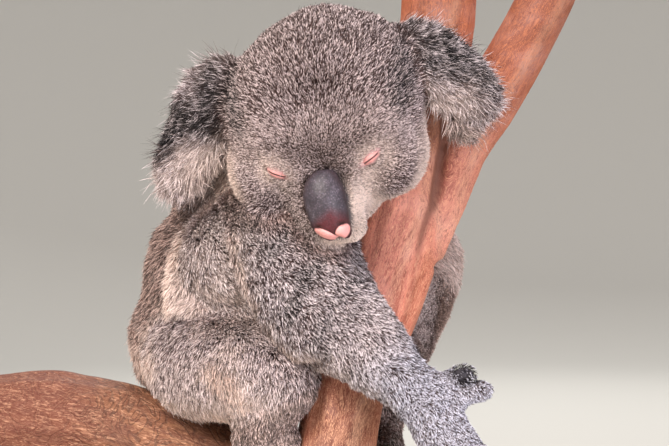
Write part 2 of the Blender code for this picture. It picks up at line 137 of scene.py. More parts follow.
def per_mm(size):
    """The scale of a noise whose features are about this many millimetres across."""
    return 1000.0 / size


# Sizes and colours that a user would change

def length(name, description, default):
    return bpy.props.FloatProperty(
        name=name, description=description, default=default, min=0.0, unit="LENGTH"
    )


def factor(name, description, default):
    return bpy.props.FloatProperty(name=name, description=description, default=default, min=0.0)


def tint(name, description, hex_colour):
    return bpy.props.FloatVectorProperty(
        name=name, description=description, default=linear(hex_colour),
        size=4, min=0.0, max=1.0, subtype="COLOR",
    )


class KoalaSkin(bpy.types.PropertyGroup):
    """The skin under the coat, and what is bare of it"""

    overlap: length("Overlap", "How far the solids swell so that they fuse", 0.0004)
    grid: length("Grid", "Size of the grid that the skin is fused on", 0.0019)
    pad: tint("Pad", "Leathery palms and soles", "46424a")
    blush: tint("Blush", "Bare skin round the eyes", "dcb0ae")


class KoalaCoat(bpy.types.PropertyGroup):
    """The coat's fullness and its colours"""

    fullness: factor("Fullness", "Number of hairs, as a share of the full coat", 1.0)
    reach: factor("Reach", "Length of the hairs, as a share of their natural length", 1.0)
    girth: factor("Girth", "Width of the hairs, as a share of their natural width", 1.0)
    under: tint("Under", "Dark foot of each hair", "1f1613")
    band: tint("Band", "Grey-brown middle of each hair", "6a5250")
    tip: tint("Tip", "Silver tip of each hair", "f6eaee")
    frost: tint("Frost", "Tips of the hands' bluer hair", "eaeafa")
    cream: tint("Cream", "Pale fringe, chin and inner limbs", "f2ddd3")
    sable: tint("Sable", "Black patches of the ears", "110d0f")
    umber: tint("Umber", "Warm brown of the nape and back", "b8927a")


class KoalaFace(bpy.types.PropertyGroup):
    """The nose, the lids and the eyes"""

    nose_length: length("Nose length", "From between the eyes to the lip", 0.0432)
    nose_width: length("Nose width", "Across the middle of the nose", 0.0254)
    nose_depth: length("Nose depth", "Half of its thickness", 0.0084)
    lid_radius: length("Lid radius", "Of the closed lids round the eyeball", 0.0080)
    eyeball_radius: length("Eyeball radius", "Of each eye", 0.0060)
    slate: tint("Slate", "Bare skin of the nose", "4f4750")
    rust: tint("Rust", "Reddish skin between the nostrils", "55232a")
    rose: tint("Rose", "Pink skin of the lids and lips", "eca6a2")


class KoalaPerch(bpy.types.PropertyGroup):
    """The bark and the sawn wood"""

    grid: length("Grid", "Size of the grid that the boughs are fused on", 0.0021)
    flute: length("Flutes", "Depth of the long hollows along the boughs", 0.0011)
    ochre: tint("Ochre", "Weathered bark of the seat branch", "744733")
    fibre: tint("Fibre", "Pale loose fibres", "fac19c")
    sapwood: tint("Sapwood", "Sawn ends", "d9b48c")


class KoalaStage(bpy.types.PropertyGroup):
    """The camera and the backdrop"""

    camera: bpy.props.FloatVectorProperty(
        name="Camera", description="Where the camera stands",
        default=(0.03, -1.05, 0.2694), subtype="TRANSLATION",
    )
    lens: bpy.props.FloatProperty(name="Lens", description="Focal length", default=86.1, unit="CAMERA")
    backdrop: tint("Backdrop", "Floor and backdrop paper", "c9c6bf")


# Mesh tools

def select_none():
    for other in list(bpy.context.selected_objects):
        other.select_set(False)


def make_active(piece):
    select_none()
    piece.select_set(True)
    bpy.context.view_layer.objects.active = piece


def modify(piece, kind, **settings):
    """Adds a modifier with its settings and applies it."""
    make_active(piece)
    modifier = piece.modifiers.new(kind.lower(), kind)
    for name, value in settings.items():
        setattr(modifier, name, value)
    bpy.ops.object.modifier_apply(modifier=modifier.name)


def numbers(collection, name, width=3, kind=float):
    """One attribute of a mesh's vertices, edges or triangles as an array."""
    flat = np.empty(len(collection) * width, np.float32 if kind is float else np.int32)
    collection.foreach_get(name, flat)
    return flat.reshape(-1, width).astype(kind)


def set_places(mesh, places):
    mesh.vertices.foreach_set("co", places.astype(np.float32).ravel())
    mesh.update()


def store(mesh, name, kind, values):
    """Keeps one value for each vertex, for the materials to read."""
    attribute = mesh.attributes.new(name, kind, "POINT")
    slot_name = {"FLOAT": "value", "FLOAT_VECTOR": "vector", "FLOAT_COLOR": "color"}[kind]
    attribute.data.foreach_set(slot_name, np.ascontiguousarray(values, np.float32).ravel())


def fused_copy(name, nodes, overlap, grid, rounds):
    """One closed soft mesh, fused from swollen copies of the fixed solids."""
    copies = []
    for node in nodes:
        copy = bpy.data.objects.new(node + "_copy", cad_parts[node].data.copy())
        bpy.context.scene.collection.objects.link(copy)
        copies.append(copy)
    select_none()
    for copy in copies:
        copy.select_set(True)
    bpy.context.view_layer.objects.active = copies[0]
    bpy.ops.object.join()
    piece = bpy.context.view_layer.objects.active
    piece.name = piece.data.name = name
    bpy.ops.object.mode_set(mode="EDIT")
    bpy.ops.mesh.select_all(action="SELECT")
    bpy.ops.mesh.remove_doubles(threshold=0.00002)
    bpy.ops.object.mode_set(mode="OBJECT")
    piece.data.materials.clear()
    modify(piece, "DISPLACE", strength=overlap, mid_level=0.0)
    modify(piece, "REMESH", mode="VOXEL", voxel_size=grid)
    modify(piece, "SMOOTH", factor=0.5, iterations=rounds)
    return piece


def finish_piece(piece, replaced=(), finish=None):
    """Shades a piece smooth, gives it its material and ties it to the model."""
    piece.data.shade_smooth()
    if finish:
        piece.data.materials.clear()
        piece.data.materials.append(finish)
    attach(piece, "root")
    if replaced:
        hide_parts(*replaced)


def relaxed(values, edges, rounds):
    """A per-vertex field averaged with its neighbours along the mesh's edges."""
    count = len(values)
    flat = values.reshape(count, -1).astype(float)
    ways = np.concatenate([edges, edges[:, ::-1]])
    degree = np.bincount(ways[:, 0], minlength=count) + 1.0
    for _ in range(rounds):
        columns = [np.bincount(ways[:, 0], column[ways[:, 1]], count) for column in flat.T]
        flat = (flat + np.stack(columns, 1)) / degree[:, None]
    return flat.reshape(values.shape)


def unit(vectors):
    return vectors / np.maximum(np.linalg.norm(vectors, axis=-1, keepdims=True), 1e-9)


def smooth_step(values, start, end):
    """0 before start, 1 after end, and a soft rise between them. start may be above end."""
    part = np.clip((values - start) / (end - start), 0.0, 1.0)
    return part * part * (3.0 - 2.0 * part)


NOISE_TABLE = np.random.default_rng(11).uniform(-1.0, 1.0, (4096, 3))


def lumps(points, cell, seed=0):
    """Three channels of smooth noise from -1 to 1, whose lumps are about a cell across."""
    grid = points / cell
    corner = np.floor(grid).astype(np.int64)
    part = grid - corner
    part = part * part * (3.0 - 2.0 * part)
    total = np.zeros((len(points), 3))
    for step in itertools.product((0, 1), repeat=3):
        key = (corner + step) @ np.array([73856093, 19349663, 83492791]) + seed * 7919
        weight = np.prod(np.where(step, part, 1.0 - part), axis=1)
        total += NOISE_TABLE[(key ^ (key >> 13)) % len(NOISE_TABLE)] * weight[:, None]
    return total


# Anatomy, in the head's own frame: -Y forward, +Z up, +X towards the animal's left

HEAD_CENTRE = np.array([0.025, -0.050, 0.331])
HEAD_TURN = np.array(
    Matrix.Rotation(math.radians(-9.0), 3, "Y")
    @ Matrix.Rotation(math.radians(-6.0), 3, "Z")
    @ Matrix.Rotation(math.radians(32.0), 3, "X")
)
NOSE_TOP = np.array([-0.0003, -0.0650, 0.0040])
NOSE_TIP = np.array([0.0018, -0.0838, -0.0315])
NOSE_BARE = (0.22, 0.95)  # the part of the line between those that has no hair round it
MOUTH = np.array([0.0, -0.0760, -0.0400])
EYES = {  # the middle of each eyeball
    "right": np.array([-0.0280, -0.0506, 0.0028]),
    "left": np.array([0.0268, -0.0510, 0.0034]),
}
LID_OVAL = {"right": (0.0088, 0.0031), "left": (0.0088, 0.0040)}  # half of its length and height
SLIT_SLOPE = math.radians(29.0)
SWIRL_CENTRE = (0.0, -0.078, -0.008)  # where the hairs of the face turn away from
EAR_ROOT = np.array([0.030, 0.004, 0.022])  # where the ear's hairs fan out from
EAR_DROOP = {"right": (0.50, 1.70), "left": (0.75, 1.50)}  # how far hair hangs: dark fur, then fringe
EAR_TRIM = {"right": 0.0, "left": 0.0030}  # how much thinner the fringe is than its solid
EAR_LINES = {  # the edge between dark fur and pale fringe, outwards from the root
    "right": ((0.055, 0.070, 0.083, 0.094, 0.108), (0.007, 0.011, 0.008, 0.000, -0.008)),
    "left": ((0.051, 0.066, 0.082, 0.094, 0.104, 0.110), (0.026, 0.0245, 0.014, 0.005, 0.000, -0.002)),
}
EAR_FIELD = {"right": 0.35, "left": 0.65}  # how dark the fur over the line is
EAR_FRINGE = {"right": 0.30, "left": 0.06}  # how pale the fringe is
EAR_DULL = {"right": (0.74, 0.0), "left": (0.10, 0.16)}  # silver lost in the dark fur and in the fringe
EAR_SPOTS = {  # dark patches: place, spread and strength
    "right": (
        (0.058, 0.0373, 0.0065, 1.0), (0.060, 0.031, 0.0070, 1.0), (0.051, 0.024, 0.0075, 1.0),
        (0.064, 0.024, 0.0060, 0.8), (0.080, 0.018, 0.0080, 0.8), (0.055, 0.016, 0.0060, 0.9),
    ),
    "left": (
        (0.054, 0.048, 0.0075, 1.0), (0.048, 0.038, 0.0085, 1.0), (0.050, 0.026, 0.0095, 1.0),
        (0.072, 0.032, 0.0075, 0.9), (0.086, 0.022, 0.0070, 0.7),
    ),
}
GRIPS = {  # the way that each bare palm or sole faces
    "hand_right": (0.05, 1.00, 0.00),
    "hand_left": (-1.00, 0.10, 0.00),
    "foot_right": (0.00, 0.90, -0.45),
    "foot_left": (-1.00, -0.05, -0.10),
}
THUMB_PAD = (0.1080, -0.0955, 0.1790)  # the leathery tip of the right hand's first thumb
PAD_HALF = (0.0074, 0.0050)
THUMB_CLEFT = ((0.1030, 0.1727), (0.0150, 0.0040))  # its foot and its run (x, z), between the two thumbs
SIDES = {"right": -1.0, "left": 1.0}

# Folds of the right flank, seen from the side (x, z), with the overlapping part on the left of the line

BACK_FOLD = (
    (-0.0395, 0.2850), (-0.0546, 0.2723), (-0.0670, 0.2569),
    (-0.0716, 0.2429), (-0.0739, 0.2213), (-0.0745, 0.2070),
)
ARM_FOLD = (
    (-0.034, 0.270), (-0.027, 0.240), (-0.015, 0.214), (-0.006, 0.198), (0.008, 0.188), (0.018, 0.191),
)
FOLD_STEPS = ((BACK_FOLD, 0.0030, 0.0022), (ARM_FOLD, 0.0040, 0.0040))  # each one's rise and groove

# Places of markings: centre, how far distances are stretched along each axis, and where a mark starts
# and where it is full

ROUND = (1.0, 1.0, 1.0)
CHIN_MARK = ((0.002, -0.072, -0.043), ROUND, 0.018, 0.010)
MUZZLE_MARKS = {  # pale hair on each side of the nose
    "left": ((0.015, -0.062, -0.021), (1.0, 0.6, 1.0), 0.024, 0.004),
    "right": ((-0.019, -0.066, -0.024), (1.0, 0.6, 1.0), 0.016, 0.004),
}
CHEEK_CREASE = ((0.021, -0.050, -0.034), ROUND, 0.020, 0.008)
CHEEK_MARK = ((-0.026, -0.062, -0.014), ROUND, 0.024, 0.006)
BRIDGE_MARK = ((NOSE_TOP + NOSE_TIP) * 0.5, (1.45, 0.8, 1.0), 0.0255, 0.0215)
# Pale nape below the ear: partly the back's paler band, partly painted light over the ear's shadow
NAPE_LIGHT_MARK = ((-0.040, 0.0, 0.300), (1.0, 0.0, 1.0), 0.026, 0.010)
# Painted shade on the head round each ear's foot
EAR_FOOT_SHADE_MARK = ((0.049, 0.0, 0.031), (1.0, 0.0, 0.6), 0.0125, 0.0040)
THIGH_STREAK = ((-0.036, 0.172), (0.62, -0.78), (0.020, 0.0085))  # middle and run (x, z), half of its sides
# Height and half-width of a band of painted light over the shade at the waist
WAIST_LIGHT_HEIGHT, WAIST_LIGHT_HALF = 0.2065, 0.0065
MOST_SILVER = 0.84  # of the coat that isn't on the hands
# How dark the painted shade round each ear's foot is
EAR_FOOT_SHADE = 0.90

# What each region adds to the shares of the coat's colour

REGIONS = {
    "head": {"warm": 0.36, "silver": -0.08},
    "chin": {"pale": 1.00},
    "muzzle_left": {"pale": 1.00},
    "muzzle_right": {"pale": 0.10},
    # Partly cream fur, partly painted rim light along the cheek's outline
    "cheek_rim_cream_and_light": {"pale": 0.70, "warm": 0.34},
    "lids": {"pale": 0.50},
    "crown": {"dark": 0.10, "silver": -0.30},
    "brow": {"pale": 0.08, "silver": 0.44},
    "cheek_shadow": {"dark": 0.36},
    "bridge": {"dark": 0.20},
    "body": {"pale": 0.17, "warm": 0.35, "silver": 0.50},
    "spine": {"pale": -0.06, "warm": 0.40, "silver": -0.40},
    "beside_spine": {"pale": 0.44},
    "chest": {"pale": 0.85},
    "rump": {"pale": 0.18, "silver": 0.30},
    "rump_blotches": {"pale": 0.55},
    "thigh": {"warm": 0.25, "silver": 0.35},
    "thigh_streak": {"pale": 0.42, "warm": 1.10},
    # Painted light over the shade at the waist and in the haunch's crease
    "waist": {"pale": 0.36},
    "haunch_crease_light": {"pale": 1.10},
    # Partly the back's paler band, partly painted light over the ear's shadow
    "nape": {"pale": 0.40},
    # Browner fur, and painted shade under the thigh
    "shin": {"pale": 0.20, "warm": 0.60},
    "upper_arm": {"silver": 0.10},
    "forearm": {"silver": 0.26},
    "toward_hand": {"dark": 0.34},
    "thumb_pad": {"dark": 0.70},
    # Painted shade in the cleft between the thumbs
    "thumb_cleft_shade": {"dark": 0.80},
    # Painted light on the far side and the far arm, which lie in shade behind the trunk
    "far_side_light": {"pale": 0.42},
    "far_arm_light": {"pale": 0.28, "warm": 0.25},
    "underside": {"pale": 0.35},
    # Painted highlight on each fold's lip, painted shade in its groove and in the arm's creases
    "fold_lip_highlight": {"pale": 0.50},
    "fold_glow": {"warm": 0.35},
    "fold_groove_shade": {"dark": 0.18},
    "arm_crease_shade": {"dark": 0.85},
    "arm_back": {"pale": 0.30},
    # Painted shade under the head, darker under the chin
    "under_head": {"warm": 0.60},
    "under_chin": {"dark": 0.18},
}


def in_head(points):
    return (points - HEAD_CENTRE) @ HEAD_TURN


def out_of_head(points):
    return points @ HEAD_TURN.T + HEAD_CENTRE


def middle(node):
    low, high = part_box(node)
    return np.array((low + high) * 0.5)


# Coat by node: depth below the outline, hair length and width in metres, lift in degrees, hairs per cm2

COATS = {
    "head": (0.0048, 0.0070, 0.00062, 42.0, 450.0),
    "jaw": (0.0046, 0.0072, 0.00080, 38.0, 330.0),
    "neck": (0.0072, 0.0115, 0.00095, 38.0, 300.0),
    "torso": (0.0068, 0.0098, 0.00070, 40.0, 380.0),
    "ear": (0.0056, 0.0130, 0.00052, 33.0, 520.0),
    "upper_arm": (0.0060, 0.0086, 0.00066, 40.0, 430.0),
    "forearm": (0.0052, 0.0076, 0.00062, 38.0, 450.0),
    "hand": (0.0030, 0.0048, 0.00056, 32.0, 560.0),
    "thigh": (0.0066, 0.0096, 0.00072, 40.0, 370.0),
    "shin": (0.0056, 0.0092, 0.00090, 34.0, 300.0),
    "foot": (0.0030, 0.0052, 0.00080, 30.0, 320.0),
}
FACE_TRIM = np.array([-0.72, -0.62, -0.32, 0.0, 0.55])  # how those change towards the bare face
BODY_LIE = (-0.30, 0.05, -1.0)  # which way the coat of the body lies
FLESH = [
    "head", "jaw", "neck", "torso", "ear_right", "ear_left",
    "upper_arm_right", "upper_arm_left", "forearm_right", "forearm_left", "hand_right", "hand_left",
    "thigh_right", "thigh_left", "shin_right", "shin_left", "foot_right", "foot_left",
]
PERCH = ["perch_trunk", "perch_fork_left", "perch_fork_right", "perch_seat_branch"]


def slit_axes(away):
    """How far points are along a closed eye's slit and across it."""
    rise = np.array([math.cos(SLIT_SLOPE), math.sin(SLIT_SLOPE)])
    return away[:, ::2] @ rise, away[:, 2] * rise[0] - away[:, 0] * rise[1]


def kind_of(node):
    return node.rsplit("_", 1)[0] if node.endswith(("_right", "_left")) else node


def nearest_nodes(points, nodes):
    """For each point, the index of the fixed solid whose surface lies nearest."""
    corners, faces, owners = [], [], []
    for index, node in enumerate(nodes):
        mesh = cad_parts[node].data
        base = len(corners)
        corners.extend(vertex.co.copy() for vertex in mesh.vertices)
        faces.extend([base + corner for corner in face.vertices] for face in mesh.polygons)
        owners.extend([index] * len(mesh.polygons))
    tree = BVHTree.FromPolygons(corners, faces)
    return np.array([owners[tree.find_nearest(Vector(point))[2]] for point in points])


def distance_to(points, node):
    """How far each point is from one fixed solid."""
    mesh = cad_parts[node].data
    corners = [vertex.co for vertex in mesh.vertices]
    tree = BVHTree.FromPolygons(corners, [face.vertices for face in mesh.polygons])
    return np.array([tree.find_nearest(Vector(point))[3] for point in points])


def mark_at(points, centre, stretch, start, full):
    """1 around a centre and 0 beyond its start, with distances stretched along each axis."""
    return smooth_step(np.linalg.norm((points - centre) * stretch, axis=1), start, full)


def bell(values, peak, spread):
    """1 at the peak, falling off to both sides."""
    return np.exp(-((values - peak) / spread) ** 2)


def face_nearness(head):
    """1 on the bare skin of the face, falling to 0 over the cheeks and brow."""
    nose_line = NOSE_TIP - NOSE_TOP
    along = np.clip((head - NOSE_TOP) @ nose_line / (nose_line @ nose_line), 0.0, 1.0)
    to_nose = np.linalg.norm(head - NOSE_TOP - along[:, None] * nose_line, axis=1) - 0.013
    to_eye = np.min([np.linalg.norm(head - eye, axis=1) for eye in EYES.values()], axis=0) - 0.009
    to_mouth = np.linalg.norm(head - MOUTH, axis=1) - 0.010
    nearest = np.minimum(np.minimum(to_nose, to_eye), to_mouth)
    return smooth_step(nearest, 0.034, 0.000)


class Field:
    """What the coat needs to know at each vertex of the skin."""

    def __init__(self, mesh):
        self.places = numbers(mesh.vertices, "co")
        self.normals = numbers(mesh.vertices, "normal")
        self.edges = numbers(mesh.edges, "vertices", 2, int)
        self.owners = nearest_nodes(self.places, FLESH)
        self.head = in_head(self.places)
        self.on_head = self.is_node("head", "jaw")
        self.to_head = distance_to(self.places, "head")

    def spread(self, values, rounds):
        return relaxed(np.asarray(values)[self.owners], self.edges, rounds)

    def is_node(self, *nodes):
        return np.isin(self.owners, [FLESH.index(node) for node in nodes])

    def is_kind(self, *kinds):
        return np.isin(self.owners, [index for index, node in enumerate(FLESH) if kind_of(node) in kinds])

    def coat(self):
        """Depth, length, width, lift and density, shorter and finer towards the bare face."""
        table = np.array([COATS[kind_of(node)] for node in FLESH])
        values = self.spread(table, 10)
        for side in SIDES:
            low = smooth_step(self.over_line(side), -0.004, -0.020) * self.is_node("ear_" + side)
            values[:, 0] += EAR_TRIM[side] * relaxed(low, self.edges, 6)
        near = relaxed(np.where(self.on_head, face_nearness(self.head), 0.0), self.edges, 3)
        return values * (1.0 + FACE_TRIM * near[:, None])

    def lie(self):
        """Which way the coat lies: away from the nose, down the body and along the limbs."""
        onward = {"upper_arm": "forearm_", "forearm": "hand_", "thigh": "shin_", "shin": "foot_"}
        before = {"hand": "forearm_", "foot": "shin_"}
        ways = np.zeros((len(FLESH), 3))
        for index, node in enumerate(FLESH):
            kind = kind_of(node)
            side = node.rsplit("_", 1)[-1]
            if kind in ("torso", "neck"):
                ways[index] = BODY_LIE
            elif kind in before:
                ways[index] = unit(middle(node) - middle(before[kind] + side))
            elif kind in onward:
                ways[index] = unit(middle(onward[kind] + side) - middle(node))
            if kind == "thigh":
                ways[index] = unit(ways[index] * 0.7 - (0.25, 0.0, 1.0))
        flow = ways[self.owners]
        swirl = unit(unit(self.head - SWIRL_CENTRE) - (0.0, 0.0, 0.25)) @ HEAD_TURN.T
        flow[self.on_head] = swirl[self.on_head]
        for side, sign in SIDES.items():
            ear = self.is_node("ear_" + side)
            droop = np.interp(self.over_line(side), (-0.012, 0.004), EAR_DROOP[side][::-1])[:, None]
            fan = unit(unit(self.head - EAR_ROOT * (sign, 1.0, 1.0)) - droop * (0.0, 0.0, 1.0))
            flow[ear] = (fan @ HEAD_TURN.T)[ear]
        flow = relaxed(flow, self.edges, 14)
        flow -= self.normals * np.sum(flow * self.normals, axis=1, keepdims=True)
        return unit(flow)

    def bare(self):
        """1 where there is no coat: lids, nose, lips, palms and soles."""
        nose_line = NOSE_TIP - NOSE_TOP
        along = np.clip((self.head - NOSE_TOP) @ nose_line / (nose_line @ nose_line), *NOSE_BARE)
        from_nose = np.linalg.norm(self.head - NOSE_TOP - along[:, None] * nose_line, axis=1)
        bare = smooth_step(from_nose, 0.0125, 0.0105) * self.on_head
        for side, sign in SIDES.items():
            along_slit, across_slit = slit_axes((self.head - EYES[side]) * (sign, 1.0, 1.0))
            oval = np.hypot(along_slit / LID_OVAL[side][0], across_slit / LID_OVAL[side][1])
            lid = smooth_step(oval, 1.35, 0.65) * (self.head[:, 1] < -0.035)
            bare = np.maximum(bare, lid * self.on_head)
        for node, grip in GRIPS.items():
            facing = self.normals @ unit(np.array(grip))
            bare = np.maximum(bare, smooth_step(facing, 0.60, 0.80) * self.is_node(node))
        return np.maximum(bare, 0.86 * self.thumb_pad())

    def thumb_pad(self):
        """1 on the leathery tip of the right hand's first thumb."""
        away = self.places - THUMB_PAD
        inside = smooth_step(np.hypot(away[:, 0] / PAD_HALF[0], away[:, 2] / PAD_HALF[1]), 1.10, 0.85)
        return inside * (np.abs(away[:, 1]) < 0.012) * self.is_node("hand_right")

    def over_line(self, side):
        """How far each point is above the line between an ear's dark fur and its fringe."""
        return self.head[:, 2] - np.interp(self.head[:, 0] * SIDES[side], *EAR_LINES[side])

    def to_eye(self):
        """How far each point is from the nearer eye."""
        return np.minimum(*[np.linalg.norm(self.head - eye, axis=1) for eye in EYES.values()])

    def beside(self, line):
        """The signed distance from a line on the right flank, positive on its left, and 1 near it or 0."""
        flank = self.places[:, ::2]
        best = np.full(len(flank), 1.0)
        signed = np.zeros(len(flank))
        for start, end in zip(np.array(line[:-1]), np.array(line[1:])):
            run = end - start
            part = np.clip((flank - start) @ run / (run @ run), 0.0, 1.0)
            away = flank - start - part[:, None] * run
            distance = np.linalg.norm(away, axis=1)
            nearer = distance < best
            cross = run[0] * away[:, 1] - run[1] * away[:, 0]
            best = np.where(nearer, distance, best)
            signed = np.where(nearer, np.where(cross > 0.0, distance, -distance), signed)
        body = ~self.on_head & ~self.is_kind("ear")
        tips = [np.linalg.norm(flank - np.array(line[at]), axis=1) for at in (0, -1)]
        fade = smooth_step(np.minimum(*tips), 0.0, 0.010)
        return signed, fade * body * smooth_step(self.normals[:, 1], 0.0, -0.35) * (self.places[:, 1] < 0.0)

    def folds(self):
        """How far each fold lifts or sinks the skin."""
        total = np.zeros(len(self.places))
        for line, step, groove in FOLD_STEPS:
            signed, near = self.beside(line)
            rise = np.where(signed > 0.0, np.exp(-signed / 0.012), 0.0)
            total += near * (step * rise - groove * bell(signed, -0.0025, 0.0038))
        thumb = mark_at(self.places, THUMB_PAD, (1.0, 0.7, 1.4), 0.0090, 0.0030)
        total += 0.0016 * thumb - 0.0024 * self.between_thumbs()
        return relaxed(total, self.edges, 2)

    def ripples(self):
        """Short creases across the upper arm, where loose skin bunches: from -1 to 1."""
        arm = relaxed(self.is_kind("upper_arm", "forearm").astype(float), self.edges, 12)
        down = unit(middle("hand_right") - middle("upper_arm_right"))
        along = self.places @ down
        flat = self.places - along[:, None] * down
        waves = lumps(np.concatenate([flat * 0.30 + along[:, None] * down], 1), 0.0050, 8)[:, 0]
        return waves * arm * (self.places[:, 1] < 0.02)

    def between_thumbs(self):
        """1 in the cleft between the two thumbs of the right hand."""
        start, run = np.array(THUMB_CLEFT)
        flat = self.places[:, ::2] - start
        part = np.clip(flat @ run / (run @ run), 0.0, 1.0)
        away = np.linalg.norm(flat - part[:, None] * run, axis=1)
        return bell(away, 0.0, 0.0016) * (self.places[:, 1] < -0.085) * self.is_kind("hand")

    def markings(self):
        """Pale, dark, warm and silver shares of the coat's colour."""
        self.marks = {share: np.zeros(len(self.places)) for share in ("pale", "dark", "warm")}
        self.marks["silver"] = np.full(len(self.places), 0.35)
        self.mark_head()
        for side, sign in SIDES.items():
            self.mark_ear(side, sign)
        self.mark_body()
        self.mark_limbs()
        self.mark_folds()
        shares = np.clip(np.stack(list(self.marks.values()), 1), 0.0, 1.0)
        return relaxed(shares, self.edges, 2)

    def mark(self, region, where):
        for share, strength in REGIONS[region].items():
            self.marks[share] += strength * where

    def mark_head(self):
        """Pale chin, muzzle and lids, a pale cheek rim that is partly cream fur and partly painted rim
        light, a warmer crown and shadows beside the nose.
        """
        head, on_head = self.head, self.on_head
        jowl = smooth_step(np.abs(head[:, 1] + 0.012), 0.040, 0.028)
        jowl = smooth_step(head[:, 2], 0.012, -0.012) * jowl
        brow = smooth_step(face_nearness(head), 0.05, 0.60) * smooth_step(head[:, 2], -0.020, 0.006)
        self.mark("head", on_head)
        self.mark("chin", on_head * mark_at(head, *CHIN_MARK))
        for side in SIDES:
            self.mark("muzzle_" + side, on_head * mark_at(head, *MUZZLE_MARKS[side]))
        # Paler where the cheek turns away from the camera: partly cream fur on the throat, partly painted
        # rim light along the outline.
        self.mark("cheek_rim_cream_and_light", on_head * jowl * smooth_step(-self.normals[:, 1], 0.62, 0.25))
        self.mark("lids", on_head * smooth_step(self.to_eye(), 0.0165, 0.0100))
        self.mark("crown", on_head * smooth_step(self.normals[:, 2], 0.0, 0.8))
        self.mark("brow", on_head * brow)
        self.mark("cheek_shadow", on_head * mark_at(head, *CHEEK_MARK))
        self.mark("bridge", on_head * mark_at(head, *BRIDGE_MARK) * smooth_step(head[:, 2], -0.02, 0.0))

    def mark_ear(self, side, sign):
        """Black fur over an ear's line and pale fringe under it, both only on its front, and painted shade
        on the head round the ear's foot.
        """
        ear = self.is_node("ear_" + side)
        local = self.head * (sign, 1.0, 1.0)
        front = smooth_step(self.normals @ HEAD_TURN[:, 1], 0.55, 0.10)
        over = self.over_line(side) + 0.002 * lumps(self.places, 0.005, 5)[:, 0]
        spots = np.zeros(len(local))
        for spot_x, spot_z, spread, strength in EAR_SPOTS[side]:
            away = np.hypot(local[:, 0] - spot_x, local[:, 2] - spot_z)
            spots = np.maximum(spots, strength * bell(away, 0.0, spread))
        stripe = bell(over, 0.004, 0.0050)
        field = EAR_FIELD[side] * smooth_step(over, 0.0, 0.004) * smooth_step(over, 0.026, 0.012)
        below = smooth_step(over + 0.005 * lumps(self.places, 0.012, 3)[:, 2], 0.004, -0.008)
        soot = front * np.clip(np.maximum(spots, stripe) + field, 0.0, 1.0) * (1.0 - below)
        inner = smooth_step(local[:, 0], 0.100, 0.080)
        fringe = front * below * (EAR_FRINGE[side] + 0.28 * inner)
        shares = {
            "pale": fringe + 0.12 * smooth_step(over, 0.020, 0.032),
            "dark": soot,
            "warm": 0.10 + 0.40 * inner * smooth_step(over, -0.012, -0.022),
            "silver": 0.80 - EAR_DULL[side][0] * soot - EAR_DULL[side][1] * front * below,
        }
        for share, value in shares.items():
            self.marks[share] = np.where(ear, value, self.marks[share])
        # Painted shade where the ear's foot meets the head.
        foot = EAR_FOOT_SHADE * self.on_head * mark_at(local, *EAR_FOOT_SHADE_MARK)
        self.marks["dark"] = np.maximum(self.marks["dark"], foot)

    def mark_body(self):
        """Brown along the spine, a pale band beside it, pale chest and a blotched pale rump, with painted
        light over the shade at the waist and in the haunch's crease, and a pale nape that is partly painted
        light over the ear's shadow.
        """
        x, z = self.places[:, 0], self.places[:, 2]
        body, thigh = self.is_kind("torso", "neck"), self.is_kind("thigh")
        behind = self.beside(BACK_FOLD)[0]
        spine = body * smooth_step(behind, 0.002, -0.006) * smooth_step(x, -0.030, -0.042)
        rump = smooth_step(z, 0.212, 0.180) * smooth_step(x, 0.010, -0.035) * (body | thigh)
        blotch = lumps(self.places, 0.012, 3)[:, 1] + 0.4 * lumps(self.places, 0.005, 5)[:, 1]
        waist = smooth_step(x, 0.010, -0.010) * smooth_step(x, -0.066, -0.056) * (self.places[:, 1] < 0.0)
        near_body, near_thigh = [relaxed(part.astype(float), self.edges, 10) for part in (body, thigh)]
        self.mark("body", body)
        self.mark("spine", spine)
        self.mark("beside_spine", body * smooth_step(behind, 0.050, 0.004) * (1.0 - spine))
        self.mark("chest", body * smooth_step(self.normals[:, 0], 0.30, 0.80))
        self.mark("rump", rump)
        self.mark("rump_blotches", rump * smooth_step(blotch, -0.1, 0.5))
        self.mark("thigh_streak", (body | thigh) * self.thigh_streak())
        # Painted light over the shade where the flank folds in above the thigh.
        self.mark("waist", (body | thigh) * waist * bell(z, WAIST_LIGHT_HEIGHT, WAIST_LIGHT_HALF))
        # Painted light over the shaded crease between the body and the thigh.
        self.mark("haunch_crease_light", near_body * near_thigh)
        # Pale nape below the ear: partly the back's paler band, partly painted light over the ear's shadow.
        self.mark("nape", body * mark_at(self.places, *NAPE_LIGHT_MARK))

    def thigh_streak(self):
        """1 on a slanting oval of cream hair."""
        centre, run, half = np.array(THIGH_STREAK)
        away = self.places[:, ::2] - centre
        aside = away[:, 1] * run[0] - away[:, 0] * run[1]
        return smooth_step(np.hypot(away @ run / half[0], aside / half[1]), 1.15, 0.35)

    def mark_limbs(self):
        """Paler undersides, browner shins that are partly painted shade, bluer silver towards the hands,
        painted shade in the cleft between the thumbs, and painted light on the far side and the far arm,
        which lie in shade behind the trunk.
        """
        x, y = self.places[:, 0], self.places[:, 1]
        to_hand = np.linalg.norm(self.places - middle("hand_right"), axis=1)
        toward_hand = self.is_kind("forearm", "hand") * smooth_step(to_hand, 0.130, 0.040)
        for kind in ("upper_arm", "forearm", "thigh"):
            self.mark(kind, self.is_kind(kind))
            self.mark("underside", self.is_kind(kind) * smooth_step(self.normals[:, 2], -0.35, -0.80))
        # Browner, darker shins and feet: partly browner fur, partly painted shade under the thigh.
        self.mark("shin", self.is_kind("shin", "foot"))
        silver = np.minimum(self.marks["silver"], MOST_SILVER)
        self.marks["silver"] = silver + (1.0 - silver) * toward_hand
        self.mark("toward_hand", toward_hand)
        self.mark("thumb_pad", self.thumb_pad())
        # Painted shade in the cleft between the two thumbs.
        self.mark("thumb_cleft_shade", self.between_thumbs())
